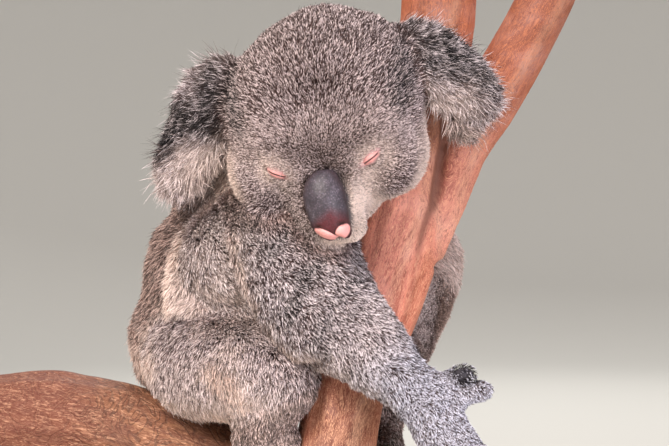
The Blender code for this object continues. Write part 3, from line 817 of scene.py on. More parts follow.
        # Painted light on the far side and the far arm, in shade behind the trunk.
        self.mark("far_side_light", ~self.on_head * (y > -0.02) * smooth_step(x, 0.070, 0.085))
        self.mark("far_arm_light", self.is_node("upper_arm_left", "forearm_left"))

    def mark_folds(self):
        """A pale lip of painted highlight and a dark groove of painted shade along each fold, painted shade
        in the creases on the arm, and painted shade under the head.
        """
        x = self.places[:, 0]
        for line in (BACK_FOLD, ARM_FOLD):
            signed, near = self.beside(line)
            # Painted highlight along the fold's lip.
            self.mark("fold_lip_highlight", near * bell(signed, 0.0008, 0.0018))
            self.mark("fold_glow", near * bell(signed, 0.0008, 0.0025))
            # Painted shade in the fold's groove.
            self.mark("fold_groove_shade", near * bell(signed, -0.0028, 0.0025))
        # Painted shade in the troughs of the arm's creases.
        self.mark("arm_crease_shade", smooth_step(-self.ripples(), 0.10, 0.55) * smooth_step(x, -0.034, -0.008))
        self.mark("arm_back", self.is_kind("upper_arm") * smooth_step(x, -0.008, -0.034))
        # Painted shade on the body close under the head, browner and darker under the chin.
        under_head = smooth_step(self.to_head, 0.018, 0.003) * ~self.on_head * ~self.is_kind("ear")
        self.mark("under_head", under_head)
        self.mark("under_chin", under_head * smooth_step(x, -0.036, -0.020))


# Coat

COAT_PIECES = {
    "coat_face": ("head", "jaw"),
    "coat_crown": ("head",),
    "coat_ear_right": ("ear_right",),
    "coat_ear_left": ("ear_left",),
    "coat_back_right": ("neck", "torso"),
    "coat_back_left": ("neck", "torso"),
    "coat_arm_right": ("upper_arm_right", "forearm_right"),
    "coat_arm_left": ("upper_arm_left", "forearm_left"),
    "coat_leg_right": ("thigh_right", "shin_right"),
    "coat_leg_left": ("thigh_left", "shin_left"),
    "coat_paws": ("hand_right", "hand_left", "foot_right", "foot_left"),
}
FACE_EDGE = -0.012  # the face is in front of this, in the head's frame
BACK_MIDDLE = 0.024  # the right half of the back is on this side of it
MOST_HAIRS = 99000  # in one piece, at two triangles a hair
SPARSE = {  # the share of its hairs that a piece keeps, each a little wider
    "coat_back_left": 0.80, "coat_arm_left": 0.80, "coat_leg_left": 0.80,
    "coat_crown": 0.90, "coat_paws": 0.92,
}
PATCH = 0.003  # across one hair's patch of the bake map
BEND = math.radians(13.0)
KNEE = 0.58  # how far along a hair it bends and is widest

# Of the body's hairs and of the ears' hairs

LOCK_HAIRS = (3, 9)  # to a lock
GATHER = (0.25, 0.55)  # how far the tips of a lock close up
LOCK_SHADE = (0.28, 0.60)  # how far the hairs of a lock are of one tone
SWAY = (0.30, 0.45)  # how far hairs turn from their flow, in radians
GUARD_SHARE = (0.02, 0.05)  # how many are longer, thinner guard hairs
GUARD_REACH = (1.25, 1.60)  # how much longer those are


def coat_faces(name, field, triangles):
    """Which of the skin's triangles one piece of the coat grows from."""
    nodes = [FLESH.index(node) for node in COAT_PIECES[name]]
    owners = field.owners[triangles[:, 0]]
    chosen = np.isin(owners, nodes)
    centres = field.places[triangles].mean(1)
    if name in ("coat_face", "coat_crown"):
        is_face = (in_head(centres)[:, 1] < FACE_EDGE) | (owners == FLESH.index("jaw"))
        return chosen & (is_face if name == "coat_face" else ~is_face)
    if name.startswith("coat_back"):
        is_right = centres[:, 1] < BACK_MIDDLE
        return chosen & (is_right if name.endswith("right") else ~is_right)
    return chosen


def unwrapped(places, triangles):
    """An unwrap of these triangles alone: each one's three corners in the unit square."""
    used, compact = np.unique(triangles, return_inverse=True)
    mesh = bpy.data.meshes.new("unwrap")
    mesh.from_pydata(places[used].tolist(), [], compact.reshape(-1, 3).tolist())
    sheet = bpy.data.objects.new("unwrap", mesh)
    bpy.context.scene.collection.objects.link(sheet)
    make_active(sheet)
    bpy.ops.object.mode_set(mode="EDIT")
    bpy.ops.mesh.select_all(action="SELECT")
    bpy.ops.uv.smart_project(angle_limit=math.radians(70.0), island_margin=0.004)
    bpy.ops.object.mode_set(mode="OBJECT")
    corners = numbers(mesh.uv_layers.active.uv, "vector", 2).reshape(-1, 3, 2)
    bpy.data.objects.remove(sheet)
    bpy.data.meshes.remove(mesh)
    return corners


def lock_heads(roots, size, draw):
    """For each hair, the hair nearby that its lock gathers round."""
    heads = draw.choice(len(roots), max(len(roots) // size, 1), replace=False)
    tree = KDTree(len(heads))
    for index, place in enumerate(roots[heads].tolist()):
        tree.insert(place, index)
    tree.balance()
    return heads[[tree.find(place)[1] for place in roots.tolist()]]


def hair_mesh(name, roots, middles, halves, tips, root_map, strand, marks):
    """A mesh of kite-shaped hairs, each of two triangles: a foot, two shoulders and a tip."""
    count = len(roots)
    places = np.stack([roots, middles - halves, middles + halves, tips], 1).reshape(-1, 3)
    corners = (np.array([0, 2, 1, 1, 2, 3]) + np.arange(count)[:, None] * 4).ravel()
    mesh = bpy.data.meshes.new(name)
    mesh.vertices.add(count * 4)
    mesh.vertices.foreach_set("co", places.astype(np.float32).ravel())
    mesh.loops.add(count * 6)
    mesh.loops.foreach_set("vertex_index", corners.astype(np.int32))
    mesh.polygons.add(count * 2)
    mesh.polygons.foreach_set("loop_start", np.arange(0, count * 6, 3, dtype=np.int32))
    mesh.update(calc_edges=True)
    store(mesh, "along", "FLOAT", np.tile([0.0, KNEE, KNEE, 1.0], count))
    store(mesh, "strand", "FLOAT", np.repeat(strand, 4))
    store(mesh, "marks", "FLOAT_COLOR", np.repeat(marks, 4, axis=0))
    spot = np.array([(0.0, -0.5), (-0.5, 0.0), (0.5, 0.0), (0.0, 0.5)]) * PATCH
    patch = (root_map[:, None, :] + spot[None]).reshape(-1, 2)
    layer = mesh.uv_layers.new(name="OFBake")
    layer.uv.foreach_set("vector", patch[corners].astype(np.float32).ravel())
    return mesh


def grow(name, field, triangles, values, seed):
    """Grows one piece of the coat from its part of the skin."""
    coat = bpy.context.scene.koala_coat
    draw = np.random.default_rng(seed)
    mine = triangles[coat_faces(name, field, triangles)]
    chart = unwrapped(field.places, mine)
    corners = field.places[mine]
    sides = corners[:, 1] - corners[:, 0], corners[:, 2] - corners[:, 0]
    area = np.linalg.norm(np.cross(*sides), axis=1) * 0.5
    furred = 1.0 - values["bare"][mine].mean(1)
    wanted = area * values["coat"][mine, 4].mean(1) * furred * 1e4 * coat.fullness
    kept = SPARSE.get(name, 1.0)
    count = int(min(wanted.sum(), MOST_HAIRS) * kept)
    steps = (np.arange(count) + draw.random(count)) / count
    chosen = np.minimum(np.searchsorted(np.cumsum(wanted) / wanted.sum(), steps), len(mine) - 1)
    first, second = draw.random((2, count))
    flip = first + second > 1.0
    first, second = np.where(flip, 1.0 - first, first), np.where(flip, 1.0 - second, second)
    weights = np.stack([1.0 - first - second, first, second], 1)

    def at_root(per_vertex):
        return np.einsum("ij,ij...->i...", weights, per_vertex[mine[chosen]])

    roots = at_root(field.places)
    normals = unit(at_root(field.normals))
    flow = at_root(values["lie"])
    _depth, length_, width, lift, _density = at_root(values["coat"]).T
    marks = at_root(values["marks"])
    clump = lumps(roots, 0.0042, seed)
    gust = lumps(roots, 0.011, seed + 1)
    flow = unit(flow - normals * np.sum(flow * normals, axis=1, keepdims=True))
    across = np.cross(normals, flow)
    in_ear = "ear" in name
    lock = lock_heads(roots, LOCK_HAIRS[in_ear], draw)
    sway = draw.normal(0.0, SWAY[in_ear], count) + 0.45 * clump[:, 0] + 0.25 * gust[:, 0]
    flow, across = (
        flow * np.cos(sway)[:, None] + across * np.sin(sway)[:, None],
        across * np.cos(sway)[:, None] - flow * np.sin(sway)[:, None],
    )
    guard = draw.random(count) < GUARD_SHARE[in_ear]
    reach = length_ * coat.reach * draw.uniform(0.72, 1.12, count) * (1.0 + 0.12 * clump[:, 1])
    reach *= np.where(guard, GUARD_REACH[in_ear], 1.0)
    girth = width * coat.girth * draw.uniform(0.70, 1.30, count) / kept ** 0.5
    girth *= np.where(guard, 0.55, 1.0)
    rise = np.radians(lift + draw.normal(0.0, 6.0, count) + 7.0 * clump[:, 2])
    rise = np.maximum(rise, math.radians(8.0))
    roll = draw.normal(0.0, 0.75, count)

    def aimed(angle):
        return flow * np.cos(angle)[:, None] + normals * np.sin(angle)[:, None]

    middles = roots + aimed(rise + BEND) * (reach * KNEE)[:, None]
    tips = middles + aimed(rise - BEND) * (reach * (1.0 - KNEE))[:, None]
    gather = np.where(guard, 0.0, GATHER[in_ear])[:, None]
    middles, tips = (
        middles + (middles[lock] - middles) * gather * 0.45,
        tips + (tips[lock] - tips) * gather,
    )
    upright = np.cross(aimed(rise), across)
    halves = across * np.cos(roll)[:, None] + upright * np.sin(roll)[:, None]
    halves *= girth[:, None] * 0.5
    share = LOCK_SHADE[in_ear]
    own = draw.random(count)
    tone = share * own[lock] + (1.0 - share) * draw.random(count)
    strand = np.clip(0.5 + 1.25 * (tone - 0.5), 0.0, 1.0)
    if in_ear:
        strand = strand ** 1.5
    root_map = np.einsum("ij,ijk->ik", weights, chart[chosen])
    mesh = hair_mesh(name, roots, middles, halves, tips, root_map, strand, marks)
    piece = bpy.data.objects.new(name, mesh)
    bpy.context.scene.collection.objects.link(piece)
    return piece


# Materials of the animal

def coat_colour(tree, along, strand, marks):
    """Salt-and-pepper koala hair: dark foot, grey-brown band and, on some hairs, a silver tip.

    The markings turn it cream, black, brown or more silver.
    """
    coat = bpy.context.scene.koala_coat
    place = add_node(tree, "TexCoord").outputs["Object"]
    split = add_node(tree, "SeparateColor", {"Color": marks.outputs["Color"]})
    pale, dark, warm = split.outputs[0], split.outputs[1], split.outputs[2]
    flecks = add_node(tree, "TexNoise", {"Vector": place, "Scale": per_mm(1.0), "Detail": 1.0})
    flecks = add_node(tree, "MapRange", {"Value": flecks, "From Min": 0.32, "From Max": 0.68})
    luck = add_node(tree, "Math", {0: marks.outputs["Alpha"], 1: 0.34, 2: strand}, operation="MULTIPLY_ADD")
    luck = add_node(tree, "Math", {0: flecks, 1: 0.45, 2: luck}, operation="MULTIPLY_ADD")
    bright = add_node(tree, "MapRange", {"Value": luck, "From Min": 0.78, "From Max": 1.02})
    rise = add_node(tree, "MapRange", {"Value": along, "From Min": 0.05, "From Max": 0.60})
    end = add_node(tree, "MapRange", {"Value": along, "From Min": 0.45, "From Max": 0.80})
    cold = add_node(tree, "MapRange", {"Value": marks.outputs["Alpha"], "From Min": 0.86})
    silver = add_node(tree, "Mix", {"Factor": cold, "A": coat.tip, "B": coat.frost})
    shaft = add_node(tree, "Mix", {"Factor": rise, "A": coat.under, "B": coat.band})
    tip = add_node(tree, "Mix", {"Factor": bright, "A": shade(coat.band, 0.30), "B": silver})
    hair = add_node(tree, "Mix", {"Factor": end, "A": shaft, "B": tip})
    hair = add_node(tree, "Mix", {"Factor": warm, "A": hair, "B": coat.umber}, blend_type="MULTIPLY")
    glow = add_node(tree, "Math", {0: strand, 1: 0.75, 2: along}, operation="MULTIPLY_ADD")
    glow = add_node(tree, "Math", {0: flecks, 1: 0.45, 2: glow}, operation="MULTIPLY_ADD")
    glow = add_node(tree, "MapRange", {"Value": glow, "From Min": 0.35, "From Max": 1.38})
    cream = add_node(tree, "Mix", {"Factor": glow, "A": shade(coat.cream, 0.20), "B": coat.cream})
    hair = add_node(tree, "Mix", {"Factor": pale, "A": hair, "B": cream})
    frost = add_node(tree, "Math", {0: bright, 1: end}, operation="MULTIPLY")
    frost = add_node(tree, "Math", {0: frost, 1: -0.75, 2: 1.0}, operation="MULTIPLY_ADD")
    soot = add_node(tree, "Math", {0: dark, 1: frost}, operation="MULTIPLY")
    return add_node(tree, "Mix", {"Factor": soot, "A": hair, "B": coat.sable})


def make_hair_material():
    """Koala coat: woolly, dense, matt hair with a faint sheen. The eye sees salt-and-pepper grey."""
    made, tree = new_material("koala_hair")
    along = add_node(tree, "Attribute", attribute_name="along").outputs["Fac"]
    strand = add_node(tree, "Attribute", attribute_name="strand").outputs["Fac"]
    marks = add_node(tree, "Attribute", attribute_name="marks")
    colour = coat_colour(tree, along, strand, marks)
    set_shader(tree, {"Base Color": colour}, Roughness=0.60, IOR=1.55, Specular_IOR_Level=0.22)
    return made


def make_hide_material():
    """Skin under the coat: matt, dull brown, with the coat's own markings, and leathery black pads."""
    sizes = bpy.context.scene.koala_skin
    made, tree = new_material("koala_hide")
    place = add_node(tree, "TexCoord").outputs["Object"]
    marks = add_node(tree, "Attribute", attribute_name="marks")
    bare = add_node(tree, "Attribute", attribute_name="bare").outputs["Fac"]
    fuzz = add_node(tree, "TexNoise", {"Vector": place, "Scale": per_mm(1.6), "Detail": 3.0})
    low = add_node(tree, "Math", {0: fuzz, 1: 0.40}, operation="MULTIPLY")
    down = coat_colour(tree, low, fuzz.outputs[0], marks)
    grain = add_node(tree, "TexVoronoi", {"Vector": place, "Scale": per_mm(1.1)})
    pad = add_node(tree, "Mix", {"Factor": grain, "A": shade(sizes.pad, 0.55), "B": sizes.pad})
    blush = add_node(tree, "Attribute", attribute_name="blush").outputs["Fac"]
    pad = add_node(tree, "Mix", {"Factor": blush, "A": pad, "B": sizes.blush})
    colour = add_node(tree, "Mix", {"Factor": bare, "A": down, "B": pad})
    bump = add_node(tree, "Bump", {"Height": grain, "Strength": 0.5, "Distance": 0.0004})
    set_shader(tree, {"Base Color": colour, "Normal": bump}, Roughness=0.75, IOR=1.40)
    return made


class KOALA_OT_skin(bpy.types.Operator):
    """One skin for all the flesh, inside the outline by the coat's depth"""

    bl_idname = "koala.skin"
    bl_label = "Skin"

    def execute(self, context):
        sizes = context.scene.koala_skin
        skin = fused_copy("skin", FLESH + ["eye_right", "eye_left"], sizes.overlap, sizes.grid, 8)
        field = Field(skin.data)
        depth = relaxed(field.coat()[:, 0] * (1.0 - 0.5 * field.bare()), field.edges, 4)
        set_places(skin.data, field.places - field.normals * depth[:, None])
        modify(skin, "REMESH", mode="VOXEL", voxel_size=sizes.grid)
        modify(skin, "SMOOTH", factor=0.5, iterations=3)
        self.shape_face(skin.data)
        self.soften_creases(skin.data)
        field = Field(skin.data)
        lift = field.folds() + 0.0007 * field.ripples()
        set_places(skin.data, field.places + field.normals * lift[:, None])
        field = Field(skin.data)
        store(skin.data, "marks", "FLOAT_COLOR", field.markings())
        store(skin.data, "bare", "FLOAT", relaxed(field.bare(), field.edges, 1))
        store(skin.data, "blush", "FLOAT", smooth_step(field.to_eye(), 0.016, 0.012))
        finish_piece(skin, FLESH, make_hide_material())
        return {"FINISHED"}

    def soften_creases(self, mesh):
        """Fills the creases round each haunch and beside the mouth, which the coat hides in life."""
        field = Field(mesh)
        body = relaxed(field.is_kind("torso").astype(float), field.edges, 60)
        thigh = relaxed(field.is_kind("thigh").astype(float), field.edges, 60)
        shin = relaxed(field.is_kind("shin", "foot").astype(float), field.edges, 60)
        cheek = field.on_head * mark_at(field.head, *CHEEK_CREASE)
        share = np.clip(6.0 * thigh * (body + shin) + cheek, 0.0, 1.0)[:, None]
        eased = relaxed(field.places, field.edges, 600)
        outward = np.maximum(np.sum((eased - field.places) * field.normals, axis=1, keepdims=True), 0.0)
        set_places(mesh, field.places + field.normals * outward * share)

    def shape_face(self, mesh):
        """Rounds the skin over each eyeball."""
        head = in_head(numbers(mesh.vertices, "co"))
        lid = bpy.context.scene.koala_face.lid_radius
        for eye in EYES.values():
            away = head - eye
            distance = np.linalg.norm(away, axis=1, keepdims=True)
            near = smooth_step(distance, 0.020, 0.0085) * (away[:, 1:2] < 0.003)
            head += (unit(away) * (lid * 0.88) - away) * near
        set_places(mesh, out_of_head(head))


class KOALA_OT_coat(bpy.types.Operator):
    """Thin overlapping hairs over the whole skin, in pieces"""

    bl_idname = "koala.coat"
    bl_label = "Coat"

    def execute(self, context):
        skin = context.scene.objects["skin"].data
        field = Field(skin)
        skin.calc_loop_triangles()
        triangles = numbers(skin.loop_triangles, "vertices", 3, int)
        values = {
            "coat": field.coat(), "lie": field.lie(), "bare": field.bare(), "marks": field.markings(),
        }
        hair = make_hair_material()
        for index, name in enumerate(COAT_PIECES):
            piece = grow(name, field, triangles, values, index * 10 + 5)
            finish_piece(piece, (), hair)
        return {"FINISHED"}


# Nose, lids and eyes

def ball_mesh(name, rings):
    """A unit ball of even quads: a cube, subdivided and cast to a sphere."""
    select_none()
    bpy.ops.mesh.primitive_cube_add(size=2.0)
    piece = bpy.context.active_object
    piece.name = piece.data.name = name
    bpy.ops.object.mode_set(mode="EDIT")
    bpy.ops.mesh.select_all(action="SELECT")
    bpy.ops.mesh.subdivide(number_cuts=rings)
    bpy.ops.object.mode_set(mode="OBJECT")
    places = np.tan(numbers(piece.data.vertices, "co") * (math.pi / 4.0))
    set_places(piece.data, unit(places))
    return piece


def make_nose_material():
    """Rhinarium: bare, finely pebbled, slightly moist skin. The eye sees soft slate with a dull gleam."""
    face = bpy.context.scene.koala_face
    made, tree = new_material("koala_nose_skin")
    place = add_node(tree, "TexCoord").outputs["Object"]
    tints = add_node(tree, "Attribute", attribute_name="tints")
    split = add_node(tree, "SeparateColor", {"Color": tints.outputs["Color"]})
    mottle = add_node(
        tree, "TexNoise", {"Vector": place, "Scale": per_mm(5.0), "Detail": 5.0, "Roughness": 0.65}
    )
    freckle = add_node(
        tree, "TexNoise", {"Vector": place, "Scale": per_mm(1.0), "Detail": 3.0, "Roughness": 0.7}
    )
    pebble = add_node(tree, "TexVoronoi", {"Vector": place, "Scale": per_mm(1.2)})
    tone = add_node(tree, "Math", {0: mottle, 1: freckle}, operation="MULTIPLY")
    tone = add_node(tree, "MapRange", {"Value": tone, "From Min": 0.17, "From Max": 0.33})
    dot = add_node(
        tree, "MapRange",
        {"Value": pebble, "From Min": 0.05, "From Max": 0.55, "To Min": 1.1, "To Max": 0.20},
    )
    tone = add_node(tree, "Math", {0: tone, 1: dot}, operation="MULTIPLY")
    slate = add_node(
        tree, "Mix", {"Factor": tone, "A": shade(face.slate, 0.50), "B": shade(face.slate, 2.1)},
    )
    flush = add_node(tree, "Math", {0: split.outputs[0], 1: mottle}, operation="MULTIPLY", use_clamp=True)
    blood = add_node(
        tree, "Mix", {"Factor": freckle, "A": shade(face.rust, 0.35), "B": shade(face.rust, 1.7)},
    )
    slate = add_node(tree, "Mix", {"Factor": flush, "A": slate, "B": blood})
    pink = add_node(
        tree, "Mix", {"Factor": freckle, "A": shade(face.rose, 0.85), "B": shade(face.rose, 1.15)},
    )
    colour = add_node(tree, "Mix", {"Factor": split.outputs[1], "A": slate, "B": pink})
    # Painted shade in the nostrils, in the crease round the lip lobes and along the nose's rim.
    crease_shade = "2e1b1c"
    colour = add_node(tree, "Mix", {"Factor": split.outputs[2], "A": colour, "B": crease_shade})
    bump = add_node(tree, "Bump", {"Height": pebble, "Strength": 0.45, "Distance": 0.0003})
    set_shader(
        tree, {"Base Color": colour, "Normal": bump}, Roughness=0.46, IOR=1.40,
        Subsurface_Weight=0.08, Subsurface_Radius=(0.0012, 0.0005, 0.0003),
    )
    return made


NOSE_BULGE = 0.0030  # how far the middle of the nose stands out
NOSE_LEAN = 0.0027  # how far its bridge bows to one side
LOBE_GAP = 0.0056  # from the middle of the nose to the middle of each lobe of the lip
LOBE_DROP = 0.0160  # below the nose's middle
LOBE_SLANT = math.radians(34.0)
LOBE_HALF = (0.0064, 0.0032)  # half of its length and height
NOSTRIL = (0.0020, 0.0112, 0.0022, 0.0011)  # outwards from the lobe, down, and half of its sides


class KOALA_OT_nose(bpy.types.Operator):
    """The long bare nose, with its nostrils and the pink lip below it"""

    bl_idname = "koala.nose"
    bl_label = "Nose"

    def execute(self, context):
        face = context.scene.koala_face
        nose = ball_mesh("nose_pad", 44)
        ball = numbers(nose.data.vertices, "co")
        across, out, up = ball[:, 0], -ball[:, 1], ball[:, 2]
        squared = (np.abs(across) ** 3.0 + np.abs(up) ** 3.0 + 1e-9) ** (1 / 3.0)
        rounder = np.hypot(across, up) / squared
        across, up = across * rounder, up * rounder
        half_width, half_length = face.nose_width * 0.5, face.nose_length * 0.5
        waist = 1.0 - 0.06 * smooth_step(up, 0.1, -0.5) - 0.10 * smooth_step(up, 0.3, 1.0)
        x = across * half_width * waist - NOSE_LEAN * (1.0 - up ** 4) + 0.0008 * smooth_step(up, -0.5, -0.9)
        z = up * half_length + 0.0026 * bell(across, 0.0, 0.28) * smooth_step(up, -0.75, -1.0)
        y = out * face.nose_depth + NOSE_BULGE * np.cos(up * 1.4) - 0.0024 * np.abs(across) ** 2.2

        front = smooth_step(out, -0.10, 0.15)
        side = np.abs(across) * half_width - LOBE_GAP
        drop = z + LOBE_DROP
        lobe = np.hypot(
            (side * math.cos(LOBE_SLANT) + drop * math.sin(LOBE_SLANT)) / LOBE_HALF[0],
            (drop * math.cos(LOBE_SLANT) - side * math.sin(LOBE_SLANT)) / LOBE_HALF[1],
        )
        lip = smooth_step(lobe, 1.04, 0.92) * front
        outline = bell(lobe, 1.10, 0.10) * smooth_step(up, -0.35, -0.50) * front
        nostril = bell(side, NOSTRIL[0], NOSTRIL[2]) * bell(z, -NOSTRIL[1], NOSTRIL[3]) * front
        foot = smooth_step(up, -0.80, -0.95) * (1.0 - lip) * front
        y += 0.0011 * np.clip(1.0 - lobe ** 2, 0.0, 1.0) * front
        y -= 0.0007 * outline + 0.0018 * nostril + 0.0010 * foot
        border = smooth_step(np.hypot(across, up * 0.9), 0.80, 1.0) * (1.0 - lip)
        tints = np.zeros((len(ball), 4))
        tints[:, 0] = 2.2 * smooth_step(up + 0.30 * np.abs(across - 0.25), 0.10, -0.38)
        tints[:, 1] = lip
        # Third tint: painted shade in the crease round the lip lobes, in the nostrils and along the rim.
        tints[:, 2] = np.max([0.80 * outline, nostril, 0.50 * border], axis=0)

        down = unit(NOSE_TIP - NOSE_TOP)
        outward = np.array([0.0, down[2], -down[1]])
        centre = (NOSE_TOP + NOSE_TIP) * 0.5 - outward * 0.0010
        local = centre + x[:, None] * np.array([1.0, 0.0, 0.0]) - z[:, None] * down + y[:, None] * outward
        set_places(nose.data, out_of_head(local))
        store(nose.data, "tints", "FLOAT_COLOR", np.clip(tints, 0.0, 2.0))
        finish_piece(nose, ("nose",), make_nose_material())
        return {"FINISHED"}


def make_lid_material():
    """Eyelid: thin, pink, almost hairless skin that creases round the closed slit; the dark wet-looking
    line along the slit and the darker creases beside it are painted shade.
    """
    face = bpy.context.scene.koala_face
    made, tree = new_material("koala_eyelid_skin")
    place = add_node(tree, "TexCoord").outputs["Object"]
    slit = add_node(tree, "Attribute", attribute_name="slit").outputs["Fac"]
    edge = add_node(tree, "Attribute", attribute_name="edge").outputs["Fac"]
    veins = add_node(tree, "TexNoise", {"Vector": place, "Scale": per_mm(1.8), "Detail": 4.0})
    pink = add_node(tree, "Mix", {"Factor": veins, "A": shade(face.rose, 0.55), "B": shade(face.rose, 1.2)})
    pink = add_node(tree, "Mix", {"Factor": edge, "A": pink, "B": "c89c99"})
    # The slit's dark colour and the creases' darkening are painted shade.
    colour = add_node(tree, "Mix", {"Factor": slit, "A": pink, "B": "1d0c0d"})
    bump = add_node(tree, "Bump", {"Height": veins, "Strength": 0.4, "Distance": 0.0003})
    set_shader(
        tree, {"Base Color": colour, "Normal": bump}, Roughness=0.48, IOR=1.40,
        Subsurface_Weight=0.12, Subsurface_Radius=(0.0016, 0.0006, 0.0004),
    )
    return made


def make_eye_material():
    """Eyeball: dark brown and wet, seen only as a glint along the closed lids."""
    made, tree = new_material("koala_eyeball")
    place = add_node(tree, "TexCoord").outputs["Object"]
    flecks = add_node(tree, "TexNoise", {"Vector": place, "Scale": per_mm(1.0), "Detail": 2.0})
    colour = add_node(tree, "ValToRGB", {"Fac": flecks}, [(0.3, "140c0a"), (0.7, "38231a")])
    set_shader(tree, {"Base Color": colour}, Roughness=0.08, IOR=1.376)
    return made


LID_FOLDS = ((0.20, 0.35), (-0.18, 0.30), (0.34, 0.18))  # each one's place across the slit, and strength
LID_HEIGHT = {"right": 0.31, "left": 0.38}  # of the lids' oval, as a share of its length


class KOALA_OT_eyes(bpy.types.Operator):
    """Both eyeballs, and the closed lids over them"""

    bl_idname = "koala.eyes"
    bl_label = "Eyes"

    def execute(self, context):
        face = context.scene.koala_face
        lid_skin, wet = make_lid_material(), make_eye_material()
        for side, sign in SIDES.items():
            eye = ball_mesh("eyeball_" + side, 12)
            centre = EYES[side]
            ball = numbers(eye.data.vertices, "co")
            set_places(eye.data, out_of_head(centre + ball * face.eyeball_radius))
            finish_piece(eye, ("eye_" + side,), wet)

            lids = ball_mesh("eyelids_" + side, 44)
            ball = numbers(lids.data.vertices, "co")
            local = ball * (sign, 1.0, 1.0)
            along, across = slit_axes(local)
            front = smooth_step(local[:, 1], 0.0, -0.35)
            line = across + 0.02 + 0.14 * along * along
            inside = smooth_step(np.abs(along), 0.90, 0.74) * front
            slit = bell(line, 0.0, 0.060) * inside
            folds = sum(bell(line, offset, 0.05) * inside * strength for offset, strength in LID_FOLDS)
            oval = np.hypot(along, line / LID_HEIGHT[side])
            lens = smooth_step(oval, 1.35, 0.45) * front
            radius = face.lid_radius * (0.86 + 0.105 * lens) - 0.0003 * slit - 0.0002 * folds
            radius *= 1.0 + 0.02 * np.abs(along)
            set_places(lids.data, out_of_head(centre + ball * radius[:, None]))
            # Painted shade: full along the slit, fainter in the creases beside it.
            store(lids.data, "slit", "FLOAT", np.clip(slit * 1.25 + folds * 0.25, 0.0, 1.0))
            store(lids.data, "edge", "FLOAT", smooth_step(oval, 0.55, 1.15))
            finish_piece(lids, (), lid_skin)
        return {"FINISHED"}


# Claws

def make_claw_material():
    """Claw: grown horn, smooth and hard. The eye sees brown-black with a worn paler tip."""
    made, tree = new_material("koala_claw_horn")
    place = add_node(tree, "TexCoord").outputs["Object"]
    along = add_node(tree, "Attribute", attribute_name="along").outputs["Fac"]
    streaks = add_node(tree, "TexNoise", {"Vector": place, "Scale": per_mm(0.9), "Detail": 3.0})
    worn = add_node(tree, "Math", {0: streaks, 1: 0.35, 2: along}, operation="MULTIPLY_ADD")
    stops = [(0.15, "3a2e28"), (0.60, "1f1815"), (1.0, "55463b")]
    colour = add_node(tree, "ValToRGB", {"Fac": worn}, stops)
    bump = add_node(tree, "Bump", {"Height": streaks, "Strength": 0.15, "Distance": 0.0002})
    set_shader(tree, {"Base Color": colour, "Normal": bump}, Roughness=0.32, IOR=1.54)
    return made


CLAW_HALF = 0.0022  # half of a claw's mean width at its root
CLAW_END = 0.0015  # how much of each end its root and tip are found from


class KOALA_OT_claws(bpy.types.Operator):
    """A curved, side-flattened horn claw in place of each plain one"""

    bl_idname = "koala.claws"
    bl_label = "Claws"

    def execute(self, context):
        horn = make_claw_material()
        for node in sorted(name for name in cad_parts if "_claw_" in name):
            places = numbers(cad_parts[node].data.vertices, "co")
            flesh = middle(node.split("_claw_")[0])
            axis = np.linalg.svd(places - places.mean(0), full_matrices=False)[2][0]
            if axis @ (places.mean(0) - flesh) < 0.0:
                axis = -axis
            spread = (places - places.mean(0)) @ axis
            root = places[spread < spread.min() + CLAW_END].mean(0)
            tip = places[spread > spread.max() - CLAW_END].mean(0)
            waist = places[np.abs(spread - (spread.max() + spread.min()) * 0.5) < 0.0040].mean(0)
            select_none()
            bpy.ops.mesh.primitive_uv_sphere_add(segments=14, ring_count=18)
            claw = context.active_object
            claw.name = claw.data.name = "horn_" + node.replace("_claw_", "_")
            ball = numbers(claw.data.vertices, "co")
            part = (ball[:, 2:] + 1.0) * 0.5
            bow = waist * 2.0 - (root + tip) * 0.5
            spine = root * (1 - part) ** 2 + bow * 2 * part * (1 - part) + tip * part ** 2
            heading = unit((bow - root) * (1 - part) + (tip - bow) * part)
            side = unit(np.cross(heading, (root + tip) * 0.5 - waist + 1e-6))
            deep = np.cross(side, heading)
            ring = unit(ball[:, :2] + 1e-9)
            thick = CLAW_HALF * np.sqrt(1.0 - (1.0 - part) ** 10) * (1.0 - 0.97 * part ** 1.6)
            set_places(claw.data, spine + (side * ring[:, :1] * 0.62 + deep * ring[:, 1:] * 1.1) * thick)
            store(claw.data, "along", "FLOAT", part)
            finish_piece(claw, (node,), horn)
        return {"FINISHED"}


# Perch

